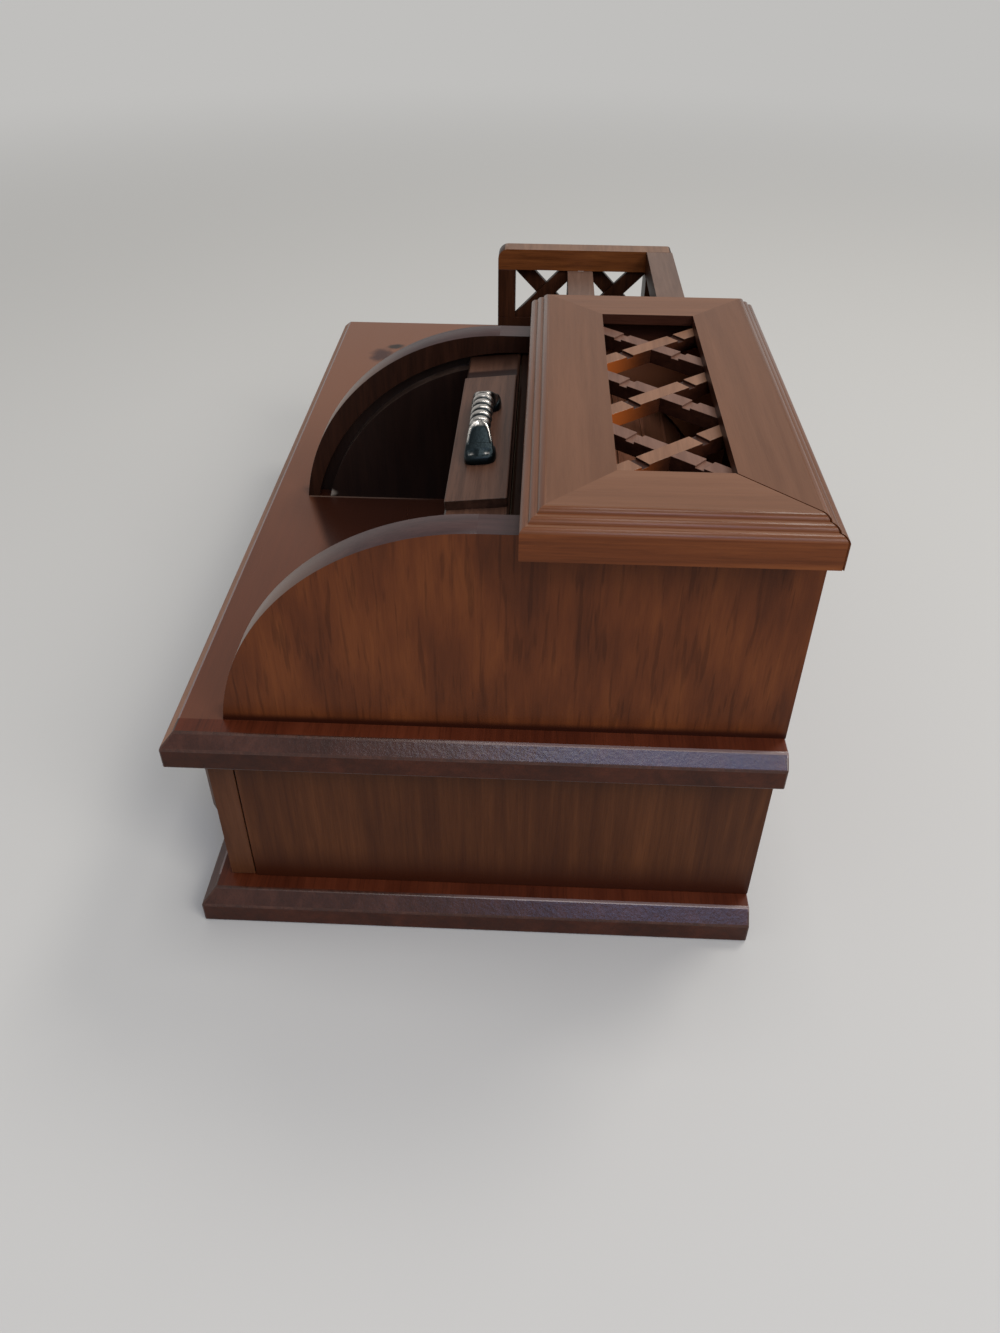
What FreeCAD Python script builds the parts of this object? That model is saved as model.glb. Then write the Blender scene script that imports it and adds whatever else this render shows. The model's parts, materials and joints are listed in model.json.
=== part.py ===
import FreeCAD, Part
import math
import os
import re
import Sketcher
from FreeCAD import Placement, Rotation, Vector

# Desk organiser with a roll-top box: a chamfered plinth, a low case with one wide
# drawer, a chamfered deck, and on the deck a tambour cabinet (right) and a lattice
# letter rack (left).  Millimetres.  The origin is the middle of the underside of the
# plinth, +X runs to the cabinet's end, +Y to the back and +Z up.

# ---------------------------------------------------------------- driving sizes

SIZES = [
    # plinth, deck and the case between them
    ("deck_length", 305),
    ("deck_depth", 165),
    ("deck_thick", 10),
    ("deck_chamfer", 3.5),
    ("plinth_thick", 11),
    ("plinth_chamfer", 4),
    ("end_overhang", 9),
    ("front_overhang", 8),
    ("case_height", 54),
    ("side_thick", 9),
    ("back_thick", 4),
    # drawer
    ("drawer_front_thick", 7.2),
    ("drawer_front_gap", 0.4),
    ("drawer_reveal", 0.6),
    ("drawer_side_gap", 0.8),
    ("drawer_float", 0.3),
    ("drawer_wall", 7),
    ("drawer_top_gap", 7.7),
    ("drawer_rear_gap", 7.8),
    ("drawer_bottom_thick", 3),
    ("drawer_bottom_lift", 3),
    ("raised_margin", 13.5),
    ("raised_thick", 7.2),
    ("raised_chamfer", 1.2),
    ("drawer_pull_offset", 70),
    # tambour cabinet
    ("cabinet_width", 130),
    ("cabinet_height", 60),
    ("rim_radius", 69),
    ("rim_flat", 81),
    ("track_radius", 68.8),
    ("track_cut", 4.5),
    ("track_rear_gap", 0.8),
    ("track_cover", 5.5),
    # tambour curtain
    ("slat_thick", 2.75),
    ("slat_play", 0.3),
    ("slat_top_play", 0.85),
    ("slat_end_play", 0.5),
    ("slat_gap", 0.15),
    ("slat_edge", 0.6),
    ("slat_count", 9),
    ("lead_width", 16.5),
    ("lead_clearance", 2.9),
    ("lead_board_length", 75.7),
    ("lead_board_thick", 2.6),
    ("lead_board_inset", 0.3),
    ("tail_clearance", 0.8),
    ("canvas_thick", 0.55),
    ("canvas_glue", 0.05),
    ("canvas_start", 3),
    ("canvas_side_play", 1),
    ("guard_depth", 9),
    ("guard_setback", 2),
    ("guard_clearance", 0.5),
    # top frame and its lattice
    ("frame_depth", 71.1),
    ("frame_end_overhang", 11),
    ("frame_inner_overhang", 2.5),
    ("rail_width", 21.8),
    ("fascia_height", 6.8),
    ("reed_rise", 1.55),
    ("reed_width", 1.9),
    ("reed_radius", 2),
    ("open_mitre", 0.5),
    ("lattice_drop", 3),
    ("lattice_thick", 4),
    ("lattice_play", 0.1),
    ("rebate_width", 4),
    ("top_strip_width", 4.8),
    ("top_strip_slope", 50),
    ("top_cross_count", 3),
    ("notch_depth", 0.6),
    ("notch_length", 2.4),
    ("notch_offset", 10.3),
    # letter rack
    ("rack_height", 40),
    ("rack_divider_height", 31),
    ("rack_width", 78.5),
    ("rack_from_back", 10),
    ("rack_end_thick", 9),
    ("rack_panel_thick", 11.5),
    ("rack_rail_height", 9),
    ("rack_stile_width", 8),
    ("rack_front_radius", 4.5),
    ("rack_rear_radius", 1.5),
    ("rack_strip_width", 6.2),
    ("rack_strip_thick", 3),
    ("rack_cross_spacing", 31.2),
    ("rack_end_cross_count", 2),
    ("rack_panel_cross_count", 4),
    # cast bow pulls and their screws
    ("pull_rise", 8),
    ("grip_length", 18),
    ("grip_radius", 1.8),
    ("ring_radius", 0.7),
    ("ring_count", 5),
    ("foot_length", 11),
    ("leg_offset", 4.3),
    ("leg_sink", 0.5),
    ("leg_length", 13.6),
    ("leg_width", 6.6),
    ("leg_thick", 3.8),
    ("leg_slope", 35),
    ("pad_radius", 4.25),
    ("pad_height", 2.4),
    ("screw_radius", 1.25),
    ("screw_play", 0.15),
    ("screw_head_radius", 2.4),
    ("screw_head_height", 1.2),
    ("screw_bite", 2),
]

# Lengths and places worked out from the driving sizes.
DERIVED = {
    # half sizes and levels
    "half_length": "deck_length / 2",
    "half_depth": "deck_depth / 2",
    "case_half": "half_length - end_overhang",
    "case_floor": "plinth_thick",
    "case_top": "plinth_thick + case_height",
    "deck_top": "case_top + deck_thick",
    "cabinet_top": "deck_top + cabinet_height",
    "back_inner": "half_depth - back_thick",
    # drawer
    "front_face": "-half_depth + front_overhang",
    "front_back": "front_face + drawer_front_thick",
    "side_front": "front_back + drawer_front_gap",
    "drawer_low": "case_floor + drawer_float",
    "drawer_half": "case_half - side_thick - drawer_side_gap",
    "drawer_inner": "drawer_half - drawer_wall",
    "drawer_rear": "back_inner - drawer_rear_gap",
    "front_low": "case_floor + drawer_reveal",
    "front_high": "case_top - drawer_reveal",
    "raised_face": "front_face - raised_thick",
    "raised_mid": "(front_low + front_high) / 2",
    # cabinet and curtain
    "cabinet_right": "case_half",
    "cabinet_left": "case_half - cabinet_width",
    "cabinet_mid": "case_half - cabinet_width / 2",
    "cavity_right": "cabinet_right - side_thick",
    "cavity_left": "cabinet_left + side_thick",
    "rim_y": "half_depth - rim_flat",
    "rim_z": "cabinet_top - rim_radius",
    "track_y": "back_inner - track_rear_gap - sqrt(track_outer ^ 2 - track_drop ^ 2)",
    "track_z": "cabinet_top - track_cover - track_outer",
    "track_drop": "deck_top - track_z",
    "track_outer": "track_radius + slat_play + slat_thick + slat_top_play",
    "slat_low": "track_radius + slat_play",
    "slat_high": "slat_low + slat_thick",
    "slat_half_length": "cabinet_width / 2 - side_thick + track_cut - slat_end_play",
    "board_high": "slat_high + lead_board_thick",
    # top frame
    "frame_right": "cabinet_right + frame_end_overhang",
    "frame_left": "cabinet_left - frame_inner_overhang",
    "frame_length": "frame_right - frame_left",
    "frame_mid": "(frame_left + frame_right) / 2",
    "frame_back": "half_depth",
    "frame_front": "frame_back - frame_depth",
    "frame_height": "fascia_height + 3 * reed_rise",
    "frame_top": "cabinet_top + frame_height",
    "lattice_top": "frame_top - lattice_drop",
    "lattice_low": "lattice_top - lattice_thick",
    "window_left": "frame_left + rail_width",
    "window_right": "frame_right - rail_width",
    "window_front": "frame_front + rail_width",
    "window_back": "frame_back - rail_width",
    # letter rack
    "rack_left": "-case_half",
    "rack_inner": "rack_left + rack_end_thick",
    "rack_right": "cabinet_left",
    "rack_back": "half_depth - rack_from_back",
    "rack_front": "rack_back - rack_width",
    "rack_top": "deck_top + rack_height",
    "rack_back_front": "rack_back - rack_panel_thick",
    "rack_front_stile": "rack_front + rack_stile_width",
    "rack_divider_mid": "(rack_front_stile + rack_back_front) / 2",
    "rack_divider_front": "rack_divider_mid - rack_panel_thick / 2",
    "rack_divider_back": "rack_divider_mid + rack_panel_thick / 2",
    "rack_divider_top": "deck_top + rack_divider_height",
    # pulls: the grip's axis above the face that the feet stand on
    "grip_height": "pull_rise - grip_radius - ring_radius",
    "ring_spacing": "grip_length / ring_count",
    "leg_reach": "grip_length / 2 + leg_offset",
    "leg_height": "pull_rise / 2 - leg_sink",
    "pull_length": "grip_length + 2 * foot_length",
    "screw_reach": "pull_length / 2 - pad_radius",
    "hole_radius": "screw_radius + screw_play",
}

doc = FreeCAD.newDocument("Organiser")
sheet = doc.addObject("Spreadsheet::Sheet", "Sizes")
for row, (alias, size) in enumerate(SIZES, start=1):
    sheet.set("A%d" % row, alias)
    sheet.set("B%d" % row, str(size))
    sheet.setAlias("B%d" % row, alias)
doc.recompute()

ALIASES = {alias for alias, size in SIZES}
WORD = re.compile(r"[a-z_]+")


def ex(text):
    """Turn a text in plain size names into an expression on the sheet."""
    def swap(match):
        word = match.group(0)
        if word in ALIASES:
            return "Sizes." + word
        if word in DERIVED:
            return "(" + ex(DERIVED[word]) + ")"
        return word
    return WORD.sub(swap, text)


def value(text):
    """The present number that a text in plain size names stands for."""
    return float(sheet.evalExpression(ex(text)))


def bind(obj, **texts):
    """Tie an object's properties to sizes; a double underscore stands for a dot."""
    for path, text in texts.items():
        obj.setExpression(path.replace("__", "."), ex(text))


def volume_after(body):
    """The body's volume once everything is up to date."""
    doc.recompute()
    return body.Shape.Volume


# ---------------------------------------------------------------- shared builders

nodes = []


def node(obj, label):
    """Keep an object as a finished sub-part under its own label."""
    obj.Label = label
    nodes.append(obj)
    return obj


def box(name, x, y, z):
    """A plain board between two planes along each axis."""
    obj = doc.addObject("Part::Box", name)
    bind(obj,
         Length="(%s) - (%s)" % (x[1], x[0]),
         Width="(%s) - (%s)" % (y[1], y[0]),
         Height="(%s) - (%s)" % (z[1], z[0]),
         Placement__Base__x=x[0], Placement__Base__y=y[0], Placement__Base__z=z[0])
    return obj


def board(label, x, y, z):
    """A plain board that is a sub-part by itself."""
    return node(box(label, x, y, z), label)


def rod(name, radius, length, start, axis):
    """A round rod from a start point along an axis vector."""
    obj = doc.addObject("Part::Cylinder", name)
    obj.Placement = Placement(Vector(), Rotation(Vector(0, 0, 1), axis))
    bind(obj, Radius=radius, Height=length,
         Placement__Base__x=start[0], Placement__Base__y=start[1], Placement__Base__z=start[2])
    return obj


def cut(name, base, tool):
    """The base with the tool taken away."""
    obj = doc.addObject("Part::Cut", name)
    obj.Base = base
    obj.Tool = tool
    return obj


def fuse(name, shapes):
    """Several solids joined into one."""
    obj = doc.addObject("Part::MultiFuse", name)
    obj.Shapes = shapes
    obj.Refine = True
    return obj


def plane(body, role):
    """One of the body's own origin planes."""
    return next(item for item in body.Origin.OriginFeatures if item.Role == role)


def outward_arc(start, end, radius):
    """An arc that turns left from start to end, so it bulges out of its outline."""
    chord = end - start
    outward = Vector(chord.y, -chord.x, 0).normalize()
    rise = radius - math.sqrt(radius ** 2 - (chord.Length / 2) ** 2)
    return Part.Arc(start, (start + end) * 0.5 + outward * rise, end)


def polygon_sketch(body, name, role, rings, arcs=None):
    """A sketch of closed outlines whose corners are tied to sizes.

    The outlines run counter-clockwise.  In the first ring, a side whose number is a key
    of arcs bulges outwards with the radius given there; the other sides are straight.
    """
    arcs = arcs or {}
    sketch = body.newObject("Sketcher::SketchObject", name)
    sketch.AttachmentSupport = (plane(body, role), [""])
    sketch.MapMode = "FlatFace"
    for ring_number, ring in enumerate(rings):
        corners = [Vector(value(across), value(up), 0) for across, up in ring]
        first = sketch.GeometryCount
        count = len(ring)
        for i in range(count):
            start, end = corners[i], corners[(i + 1) % count]
            if ring_number == 0 and i in arcs:
                sketch.addGeometry(outward_arc(start, end, value(arcs[i])))
            else:
                sketch.addGeometry(Part.LineSegment(start, end))
        for i in range(count):
            follower = first + (i + 1) % count
            sketch.addConstraint(Sketcher.Constraint("Coincident", first + i, 2, follower, 1))
        for i, (across, up) in enumerate(ring):
            for axis, text, size in (("X", across, corners[i].x), ("Y", up, corners[i].y)):
                rule = Sketcher.Constraint("Distance" + axis, -1, 1, first + i, 1, size)
                index = sketch.addConstraint(rule)
                title = "ring%d_corner%d_%s" % (ring_number, i, axis.lower())
                sketch.renameConstraint(index, title)
                sketch.setExpression("Constraints." + title, ex(text))
    for i, radius in arcs.items():
        index = sketch.addConstraint(Sketcher.Constraint("Radius", i, value(radius)))
        title = "side%d_radius" % i
        sketch.renameConstraint(index, title)
        sketch.setExpression("Constraints." + title, ex(radius))
    return sketch


def pad(body, sketch, length):
    """Raise a sketch into a solid."""
    feature = body.newObject("PartDesign::Pad", sketch.Name + "_pad")
    feature.Profile = sketch
    bind(feature, Length=length)
    doc.recompute()
    return feature


def edges_where(feature, test):
    """Names of the feature's edges whose two ends both pass a test."""
    names = []
    for number, edge in enumerate(feature.Shape.Edges, start=1):
        ends = [vertex.Point for vertex in edge.Vertexes]
        if len(ends) == 2 and test(ends[0]) and test(ends[1]):
            names.append("Edge%d" % number)
    return names


def dress(body, kind, feature, names, size):
    """Chamfer or round the named edges of a body's last feature."""
    before = volume_after(body)
    extra = body.newObject("PartDesign::" + kind, feature.Name + "_" + kind.lower())
    extra.Base = (feature, names)
    bind(extra, **{"Size" if kind == "Chamfer" else "Radius": size})
    if not volume_after(body) < before:
        raise RuntimeError("%s took nothing off %s" % (kind, body.Label))
    return extra


def near(a, b):
    return abs(a - b) < 1e-6


def on_track(obj, x, angle):
    """Turn an object drawn above the track's axis to its angle on the track."""
    # A turn about -X carries the top of the track towards the back.
    obj.Placement = Placement(Vector(), Rotation(Vector(-1, 0, 0), 5))
    bind(obj, Placement__Base__x=x, Placement__Base__y="track_y", Placement__Base__z="track_z",
         Placement__Rotation__Angle=angle)
    return obj


def holes_along_x(name, low, high, middle="0"):
    """A pair of upright screw holes, one under each foot of a pull."""
    return fuse(name, [rod("%s_%d" % (name, number), "hole_radius", "(%s) - (%s)" % (high, low),
                           ("%s + %d * screw_reach" % (middle, sign), "0", low),
                           Vector(0, 0, 1))
                       for number, sign in enumerate((-1, 1))])


# ---------------------------------------------------------------- plinth and deck

def chamfered_board(label, low, thick, chamfer):
    """A full-size board whose top edge is bevelled at the front and both ends."""
    body = node(doc.addObject("PartDesign::Body", label), label)
    outline = [("-half_length", "-half_depth"), ("half_length", "-half_depth"),
               ("half_length", "half_depth"), ("-half_length", "half_depth")]
    sketch = polygon_sketch(body, label + "_outline", "XY_Plane", [outline])
    slab = pad(body, sketch, thick)
    top = value(thick)
    half_length = value("half_length")
    half_depth = value("half_depth")

    def front_top(point):
        return near(point.z, top) and near(point.y, -half_depth)

    def left_top(point):
        return near(point.z, top) and near(point.x, -half_length)

    def right_top(point):
        return near(point.z, top) and near(point.x, half_length)

    names = []
    for test in (front_top, left_top, right_top):
        names += edges_where(slab, test)
    dress(body, "Chamfer", slab, names, chamfer)
    bind(body, Placement__Base__z=low)
    return body


chamfered_board("plinth_board", "0", "plinth_thick", "plinth_chamfer")
chamfered_board("deck_board", "case_top", "deck_thick", "deck_chamfer")

# ---------------------------------------------------------------- lower case

CASE_Z = ("case_floor", "case_top")
board("case_side_left", ("-case_half", "-case_half + side_thick"),
      ("side_front", "half_depth"), CASE_Z)
board("case_side_right", ("case_half - side_thick", "case_half"),
      ("side_front", "half_depth"), CASE_Z)
board("case_back", ("-case_half + side_thick", "case_half - side_thick"),
      ("back_inner", "half_depth"), CASE_Z)

# ---------------------------------------------------------------- pulls and screws


def pull(label, stand):
    """A cast bow pull along X on the level stand: a ringed grip on two sloped legs."""
    grip_level = "(%s) + grip_height" % stand
    parts = [rod(label + "_grip", "grip_radius", "grip_length",
                 ("-grip_length / 2", "0", grip_level), Vector(1, 0, 0))]
    for number, sign in enumerate((-1, 1)):
        leg = doc.addObject("Part::Ellipsoid", "%s_leg_%d" % (label, number))
        leg.Placement = Placement(Vector(), Rotation(Vector(0, 1, 0), 5))
        # Radius1 is half the leg's thickness, Radius2 half its length and Radius3 half
        # its width.  A turn about +Y lowers the right leg's outer end.
        bind(leg, Radius1="leg_thick / 2", Radius2="leg_length / 2", Radius3="leg_width / 2",
             Placement__Base__x="%d * leg_reach" % sign,
             Placement__Base__z="(%s) + leg_height" % stand,
             Placement__Rotation__Angle="%d * leg_slope * 1 deg" % sign)
        parts.append(leg)
        parts.append(rod("%s_pad_%d" % (label, number), "pad_radius", "pad_height",
                         ("%d * screw_reach" % sign, "0", stand), Vector(0, 0, 1)))
    for i in range(int(value("ring_count"))):
        ring = doc.addObject("Part::Torus", "%s_ring_%d" % (label, i))
        ring.Placement = Placement(Vector(), Rotation(Vector(0, 0, 1), Vector(1, 0, 0)))
        bind(ring, Radius1="grip_radius", Radius2="ring_radius",
             Placement__Base__x="(%d - (ring_count - 1) / 2) * ring_spacing" % i,
             Placement__Base__z=grip_level)
        parts.append(ring)
    # The legs' outer ends dip under the stand and are cut off level with it.
    under = box(label + "_under", ("-pull_length / 2", "pull_length / 2"),
                ("-leg_width", "leg_width"), ("(%s) - leg_height" % stand, stand))
    holes = holes_along_x(label + "_holes", stand, "(%s) + screw_bite + screw_play" % stand)
    tools = fuse(label + "_tools", [under, holes])
    return node(cut(label, fuse(label + "_cast", parts), tools), label)


def screws(name, wall_low, wall_high):
    """Two pan-head screws that come up through a wall into a pull's feet."""
    pair = []
    for number, sign in enumerate((-1, 1)):
        x = "%d * screw_reach" % sign
        shank = rod("%s_shank_%d" % (name, number), "screw_radius",
                    "(%s) - (%s) + screw_bite" % (wall_high, wall_low), (x, "0", wall_low),
                    Vector(0, 0, 1))
        head = rod("%s_head_%d" % (name, number), "screw_head_radius", "screw_head_height",
                   (x, "0", "(%s) - screw_head_height" % wall_low), Vector(0, 0, 1))
        pair.append(fuse("%s_%d" % (name, number), [shank, head]))
    return pair


def group(label, shapes):
    """Equal small pieces kept together as one sub-part."""
    obj = doc.addObject("Part::Compound", label)
    obj.Links = shapes
    return node(obj, label)


# ---------------------------------------------------------------- drawer


def on_drawer(obj, sign):
    """Stand an object drawn on z = 0 against the raised panel, left or right."""
    obj.Placement = Placement(Vector(), Rotation(Vector(1, 0, 0), 90))
    bind(obj, Placement__Base__x="%d * drawer_pull_offset" % sign,
         Placement__Base__y="raised_face", Placement__Base__z="raised_mid")
    return obj


def drawer_holes(name, front, rear):
    """The four screw holes of the two drawer pulls, as one cutting tool."""
    holes = []
    for pull_sign in (-1, 1):
        for screw_sign in (-1, 1):
            start = ("%d * drawer_pull_offset + %d * screw_reach" % (pull_sign, screw_sign),
                     front, "raised_mid")
            holes.append(rod("%s_%d" % (name, len(holes)), "hole_radius",
                             "(%s) - (%s)" % (rear, front), start, Vector(0, 1, 0)))
    return fuse(name, holes)


front_blank = box("drawer_front_blank", ("-case_half", "case_half"), ("front_face", "front_back"),
                  ("front_low", "front_high"))
node(cut("drawer_front_board", front_blank,
         drawer_holes("front_board_holes", "front_face", "front_back")), "drawer_front_board")

raised = doc.addObject("PartDesign::Body", "raised_blank")
raised_outline = [("-case_half + raised_margin", "front_low + raised_margin"),
                  ("case_half - raised_margin", "front_low + raised_margin"),
                  ("case_half - raised_margin", "front_high - raised_margin"),
                  ("-case_half + raised_margin", "front_high - raised_margin")]
raised_sketch = polygon_sketch(raised, "raised_outline", "XZ_Plane", [raised_outline])
raised_pad = pad(raised, raised_sketch, "raised_thick")
raised_front = min(vertex.Point.y for vertex in raised_pad.Shape.Vertexes)
dress(raised, "Chamfer", raised_pad,
      edges_where(raised_pad, lambda point: near(point.y, raised_front)), "raised_chamfer")
bind(raised, Placement__Base__y="front_face")
node(cut("drawer_raised_panel", raised,
         drawer_holes("raised_panel_holes", "raised_face", "front_face")), "drawer_raised_panel")

BOX_Z = ("drawer_low", "case_top - drawer_top_gap")
BOTTOM_LOW = "drawer_low + drawer_bottom_lift"
board("drawer_side_left", ("-drawer_half", "-drawer_inner"), ("front_back", "drawer_rear"), BOX_Z)
board("drawer_side_right", ("drawer_inner", "drawer_half"), ("front_back", "drawer_rear"), BOX_Z)
board("drawer_back", ("-drawer_inner", "drawer_inner"),
      ("drawer_rear - drawer_wall", "drawer_rear"), BOX_Z)
board("drawer_bottom", ("-drawer_inner", "drawer_inner"),
      ("front_back", "drawer_rear - drawer_wall"),
      (BOTTOM_LOW, BOTTOM_LOW + " + drawer_bottom_thick"))

drawer_screws = []
for side, sign in (("left", -1), ("right", 1)):
    on_drawer(pull("drawer_pull_" + side, "0"), sign)
    pair = screws("drawer_screw_" + side, "-raised_thick - drawer_front_thick", "0")
    drawer_screws += [on_drawer(screw, sign) for screw in pair]
group("drawer_pull_screws", drawer_screws)

# ---------------------------------------------------------------- cabinet shell


def cabinet_side(label, low, high, groove_low, groove_high):
    """A side panel: a quarter-round front, a flat top, and the tambour's groove."""
    arch = rod(label + "_arch", "rim_radius", "(%s) - (%s)" % (high, low),
               (low, "rim_y", "rim_z"), Vector(1, 0, 0))
    quarter = box(label + "_quarter", (low, high), ("rim_y - rim_radius", "rim_y"),
                  ("deck_top", "cabinet_top"))
    nose = doc.addObject("Part::Common", label + "_nose")
    nose.Base = arch
    nose.Tool = quarter
    rear = box(label + "_rear", (low, high), ("rim_y", "half_depth"), ("deck_top", "cabinet_top"))
    blank = fuse(label + "_blank", [nose, rear])
    length = "(%s) - (%s)" % (groove_high, groove_low)
    start = (groove_low, "track_y", "track_z")
    outer = rod(label + "_groove_outer", "track_outer", length, start, Vector(1, 0, 0))
    inner = rod(label + "_groove_inner", "track_radius", length, start, Vector(1, 0, 0))
    return node(cut(label, blank, cut(label + "_groove", outer, inner)), label)


cabinet_side("cabinet_side_left", "cabinet_left", "cavity_left",
             "cavity_left - track_cut", "cavity_left")
cabinet_side("cabinet_side_right", "cavity_right", "cabinet_right",
             "cavity_right", "cavity_right + track_cut")
board("cabinet_back", ("cavity_left", "cavity_right"), ("back_inner", "half_depth"),
      ("deck_top", "cabinet_top"))

# The guard rail closes the slit between the curtain and the top frame.  The curtain
# stands highest under the rail's front edge, so its underside clears it there.
GUARD_FRONT = "frame_front + guard_setback"
GUARD_LOW = "track_z + sqrt(track_outer ^ 2 - (%s - track_y) ^ 2) + guard_clearance" % GUARD_FRONT
board("cabinet_guard_rail", ("cavity_left", "cavity_right"),
      (GUARD_FRONT, GUARD_FRONT + " + guard_depth"), (GUARD_LOW, "cabinet_top"))

# ---------------------------------------------------------------- tambour curtain

# Angles are measured about the track's axis from straight up, positive towards the
# back.  A flat slat of half width a whose underside lies at radius r ends at the
# angle atan(a / r) from its middle.  The lead slat's rear edge stops short of the top
# frame's front edge.
FIRST_EDGE = ("asin((frame_front - lead_clearance - track_y)"
              " / sqrt(slat_low ^ 2 + (lead_width / 2) ^ 2))")
LEAD_ANGLE = "(%s - atan(lead_width / 2 / slat_low))" % FIRST_EDGE
TAIL_EDGE = "(90 deg - asin((track_drop + tail_clearance) / slat_low))"
SLAT_PITCH = "((%s - %s) / slat_count)" % (TAIL_EDGE, FIRST_EDGE)
SLAT_HALF = "(slat_low * tan(%s / 2) - slat_gap / 2)" % SLAT_PITCH


def slat(name, half_width):
    """A flat slat with eased top edges, drawn above the track's axis from x = 0."""
    body = doc.addObject("PartDesign::Body", name)
    section = [("-(%s)" % half_width, "slat_low"), (half_width, "slat_low"),
               (half_width, "slat_high - slat_edge"),
               ("(%s) - slat_edge" % half_width, "slat_high"),
               ("-(%s) + slat_edge" % half_width, "slat_high"),
               ("-(%s)" % half_width, "slat_high - slat_edge")]
    pad(body, polygon_sketch(body, name + "_section", "YZ_Plane", [section]),
        "2 * slat_half_length")
    return body


lead_blank = slat("lead_slat_blank", "lead_width / 2")
bind(lead_blank, Placement__Base__x="-slat_half_length")
lead_slat = cut("tambour_lead_slat", lead_blank,
                holes_along_x("lead_slat_holes", "slat_low", "slat_high",
                              "frame_mid - cabinet_mid"))
on_track(node(lead_slat, "tambour_lead_slat"), "cabinet_mid", LEAD_ANGLE)

# The raised board and the pull stand in the middle of the top frame, not of the slats.
board_blank = box("lead_board_blank", ("-lead_board_length / 2", "lead_board_length / 2"),
                  ("-lead_width / 2 + lead_board_inset", "lead_width / 2 - lead_board_inset"),
                  ("slat_high", "board_high"))
lead_board = cut("tambour_lead_board", board_blank,
                 holes_along_x("lead_board_holes", "slat_high", "board_high"))
on_track(node(lead_board, "tambour_lead_board"), "frame_mid", LEAD_ANGLE)

on_track(pull("tambour_pull", "board_high"), "frame_mid", LEAD_ANGLE)
group("tambour_pull_screws",
      [on_track(screw, "frame_mid", LEAD_ANGLE)
       for screw in screws("tambour_screw", "slat_low", "board_high")])

for i in range(int(value("slat_count"))):
    label = "tambour_slat_%d" % (i + 1)
    on_track(node(slat(label, SLAT_HALF), label), "cabinet_mid - slat_half_length",
             "%s + %s * %s" % (FIRST_EDGE, SLAT_PITCH, i + 0.5))

# The canvas behind the slats starts beyond the lead slat's screws.
CANVAS_START = "(%s + canvas_start * 1 deg)" % LEAD_ANGLE


def sector(name, radius):
    """A slice of a cylinder lying along X, opening from straight up to the back."""
    obj = doc.addObject("Part::Cylinder", name)
    turn = Rotation(Vector(0, 0, 1), Vector(0, 1, 0), Vector(-1, 0, 0), "ZXY")
    obj.Placement = Placement(Vector(), turn)
    bind(obj, Radius=radius, Height="cabinet_width - 2 * side_thick - 2 * canvas_side_play",
         Angle="%s - %s" % (TAIL_EDGE, CANVAS_START),
         Placement__Base__x="cabinet_width / 2 - side_thick - canvas_side_play")
    return obj


canvas = cut("tambour_canvas", sector("canvas_outer", "slat_low - canvas_glue"),
             sector("canvas_inner", "slat_low - canvas_glue - canvas_thick"))
on_track(node(canvas, "tambour_canvas"), "cabinet_mid", CANVAS_START)

# ---------------------------------------------------------------- top frame


def frame_rail(label, length, far_gap, corner, turn):
    """A reeded, rebated and mitred rail, drawn along X with its outer face at y = 0."""
    body = node(doc.addObject("PartDesign::Body", label), label)
    profile = [("0", "0"), ("rail_width - rebate_width", "0"),
               ("rail_width - rebate_width", "frame_height - lattice_drop"),
               ("rail_width", "frame_height - lattice_drop"), ("rail_width", "frame_height")]
    # Three reeds run down the bevel from the top face to the fascia.
    reeds = {}
    for reed in (3, 2, 1):
        reeds[len(profile)] = "reed_radius"
        profile.append(("%d * reed_width" % reed, "fascia_height + %d * reed_rise" % reed))
    profile.append(("0", "fascia_height"))
    bar = pad(body, polygon_sketch(body, label + "_profile", "YZ_Plane", [profile], reeds), length)
    over = "(rail_width + 1)"
    near_corner = [("-1", "-1"), (over, over), ("-1", over)]
    far_corner = [("%s + 1 - %s" % (length, far_gap), "-1"),
                  ("%s + 1 - %s" % (length, far_gap), over),
                  ("%s - %s - %s" % (length, over, far_gap), over)]
    mitres = polygon_sketch(body, label + "_mitres", "XY_Plane", [near_corner, far_corner])
    before = bar.Shape.Volume
    corners = body.newObject("PartDesign::Pocket", label + "_mitre_cuts")
    corners.Profile = mitres
    corners.Type = "ThroughAll"
    corners.Reversed = True
    if not volume_after(body) < before:
        raise RuntimeError("the mitres took nothing off " + label)
    body.Placement = Placement(Vector(), Rotation(Vector(0, 0, 1), turn))
    bind(body, Placement__Base__x=corner[0], Placement__Base__y=corner[1],
         Placement__Base__z="cabinet_top")
    return body


# The mitre at the right rear corner has opened a little.
frame_rail("frame_rail_front", "frame_length", "0", ("frame_left", "frame_front"), 0)
frame_rail("frame_rail_right", "frame_depth", "open_mitre", ("frame_right", "frame_front"), 90)
frame_rail("frame_rail_back", "frame_length", "0", ("frame_right", "frame_back"), 180)
frame_rail("frame_rail_left", "frame_depth", "0", ("frame_left", "frame_back"), 270)

# ---------------------------------------------------------------- lattice strips


def turned_box(name, centre, angle, half_length, width, z):
    """A board lying flat about a centre point, its length at an angle to X."""
    obj = doc.addObject("Part::Box", name)
    obj.Placement = Placement(Vector(), Rotation(Vector(0, 0, 1), 5))
    bind(obj,
         Length="2 * (%s)" % half_length, Width=width, Height="(%s) - (%s)" % (z[1], z[0]),
         Placement__Base__x="%s - (%s) * cos(%s) + (%s) / 2 * sin(%s)"
         % (centre[0], half_length, angle, width, angle),
         Placement__Base__y="%s - (%s) * sin(%s) - (%s) / 2 * cos(%s)"
         % (centre[1], half_length, angle, width, angle),
         Placement__Base__z=z[0], Placement__Rotation__Angle=angle)
    return obj


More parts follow.
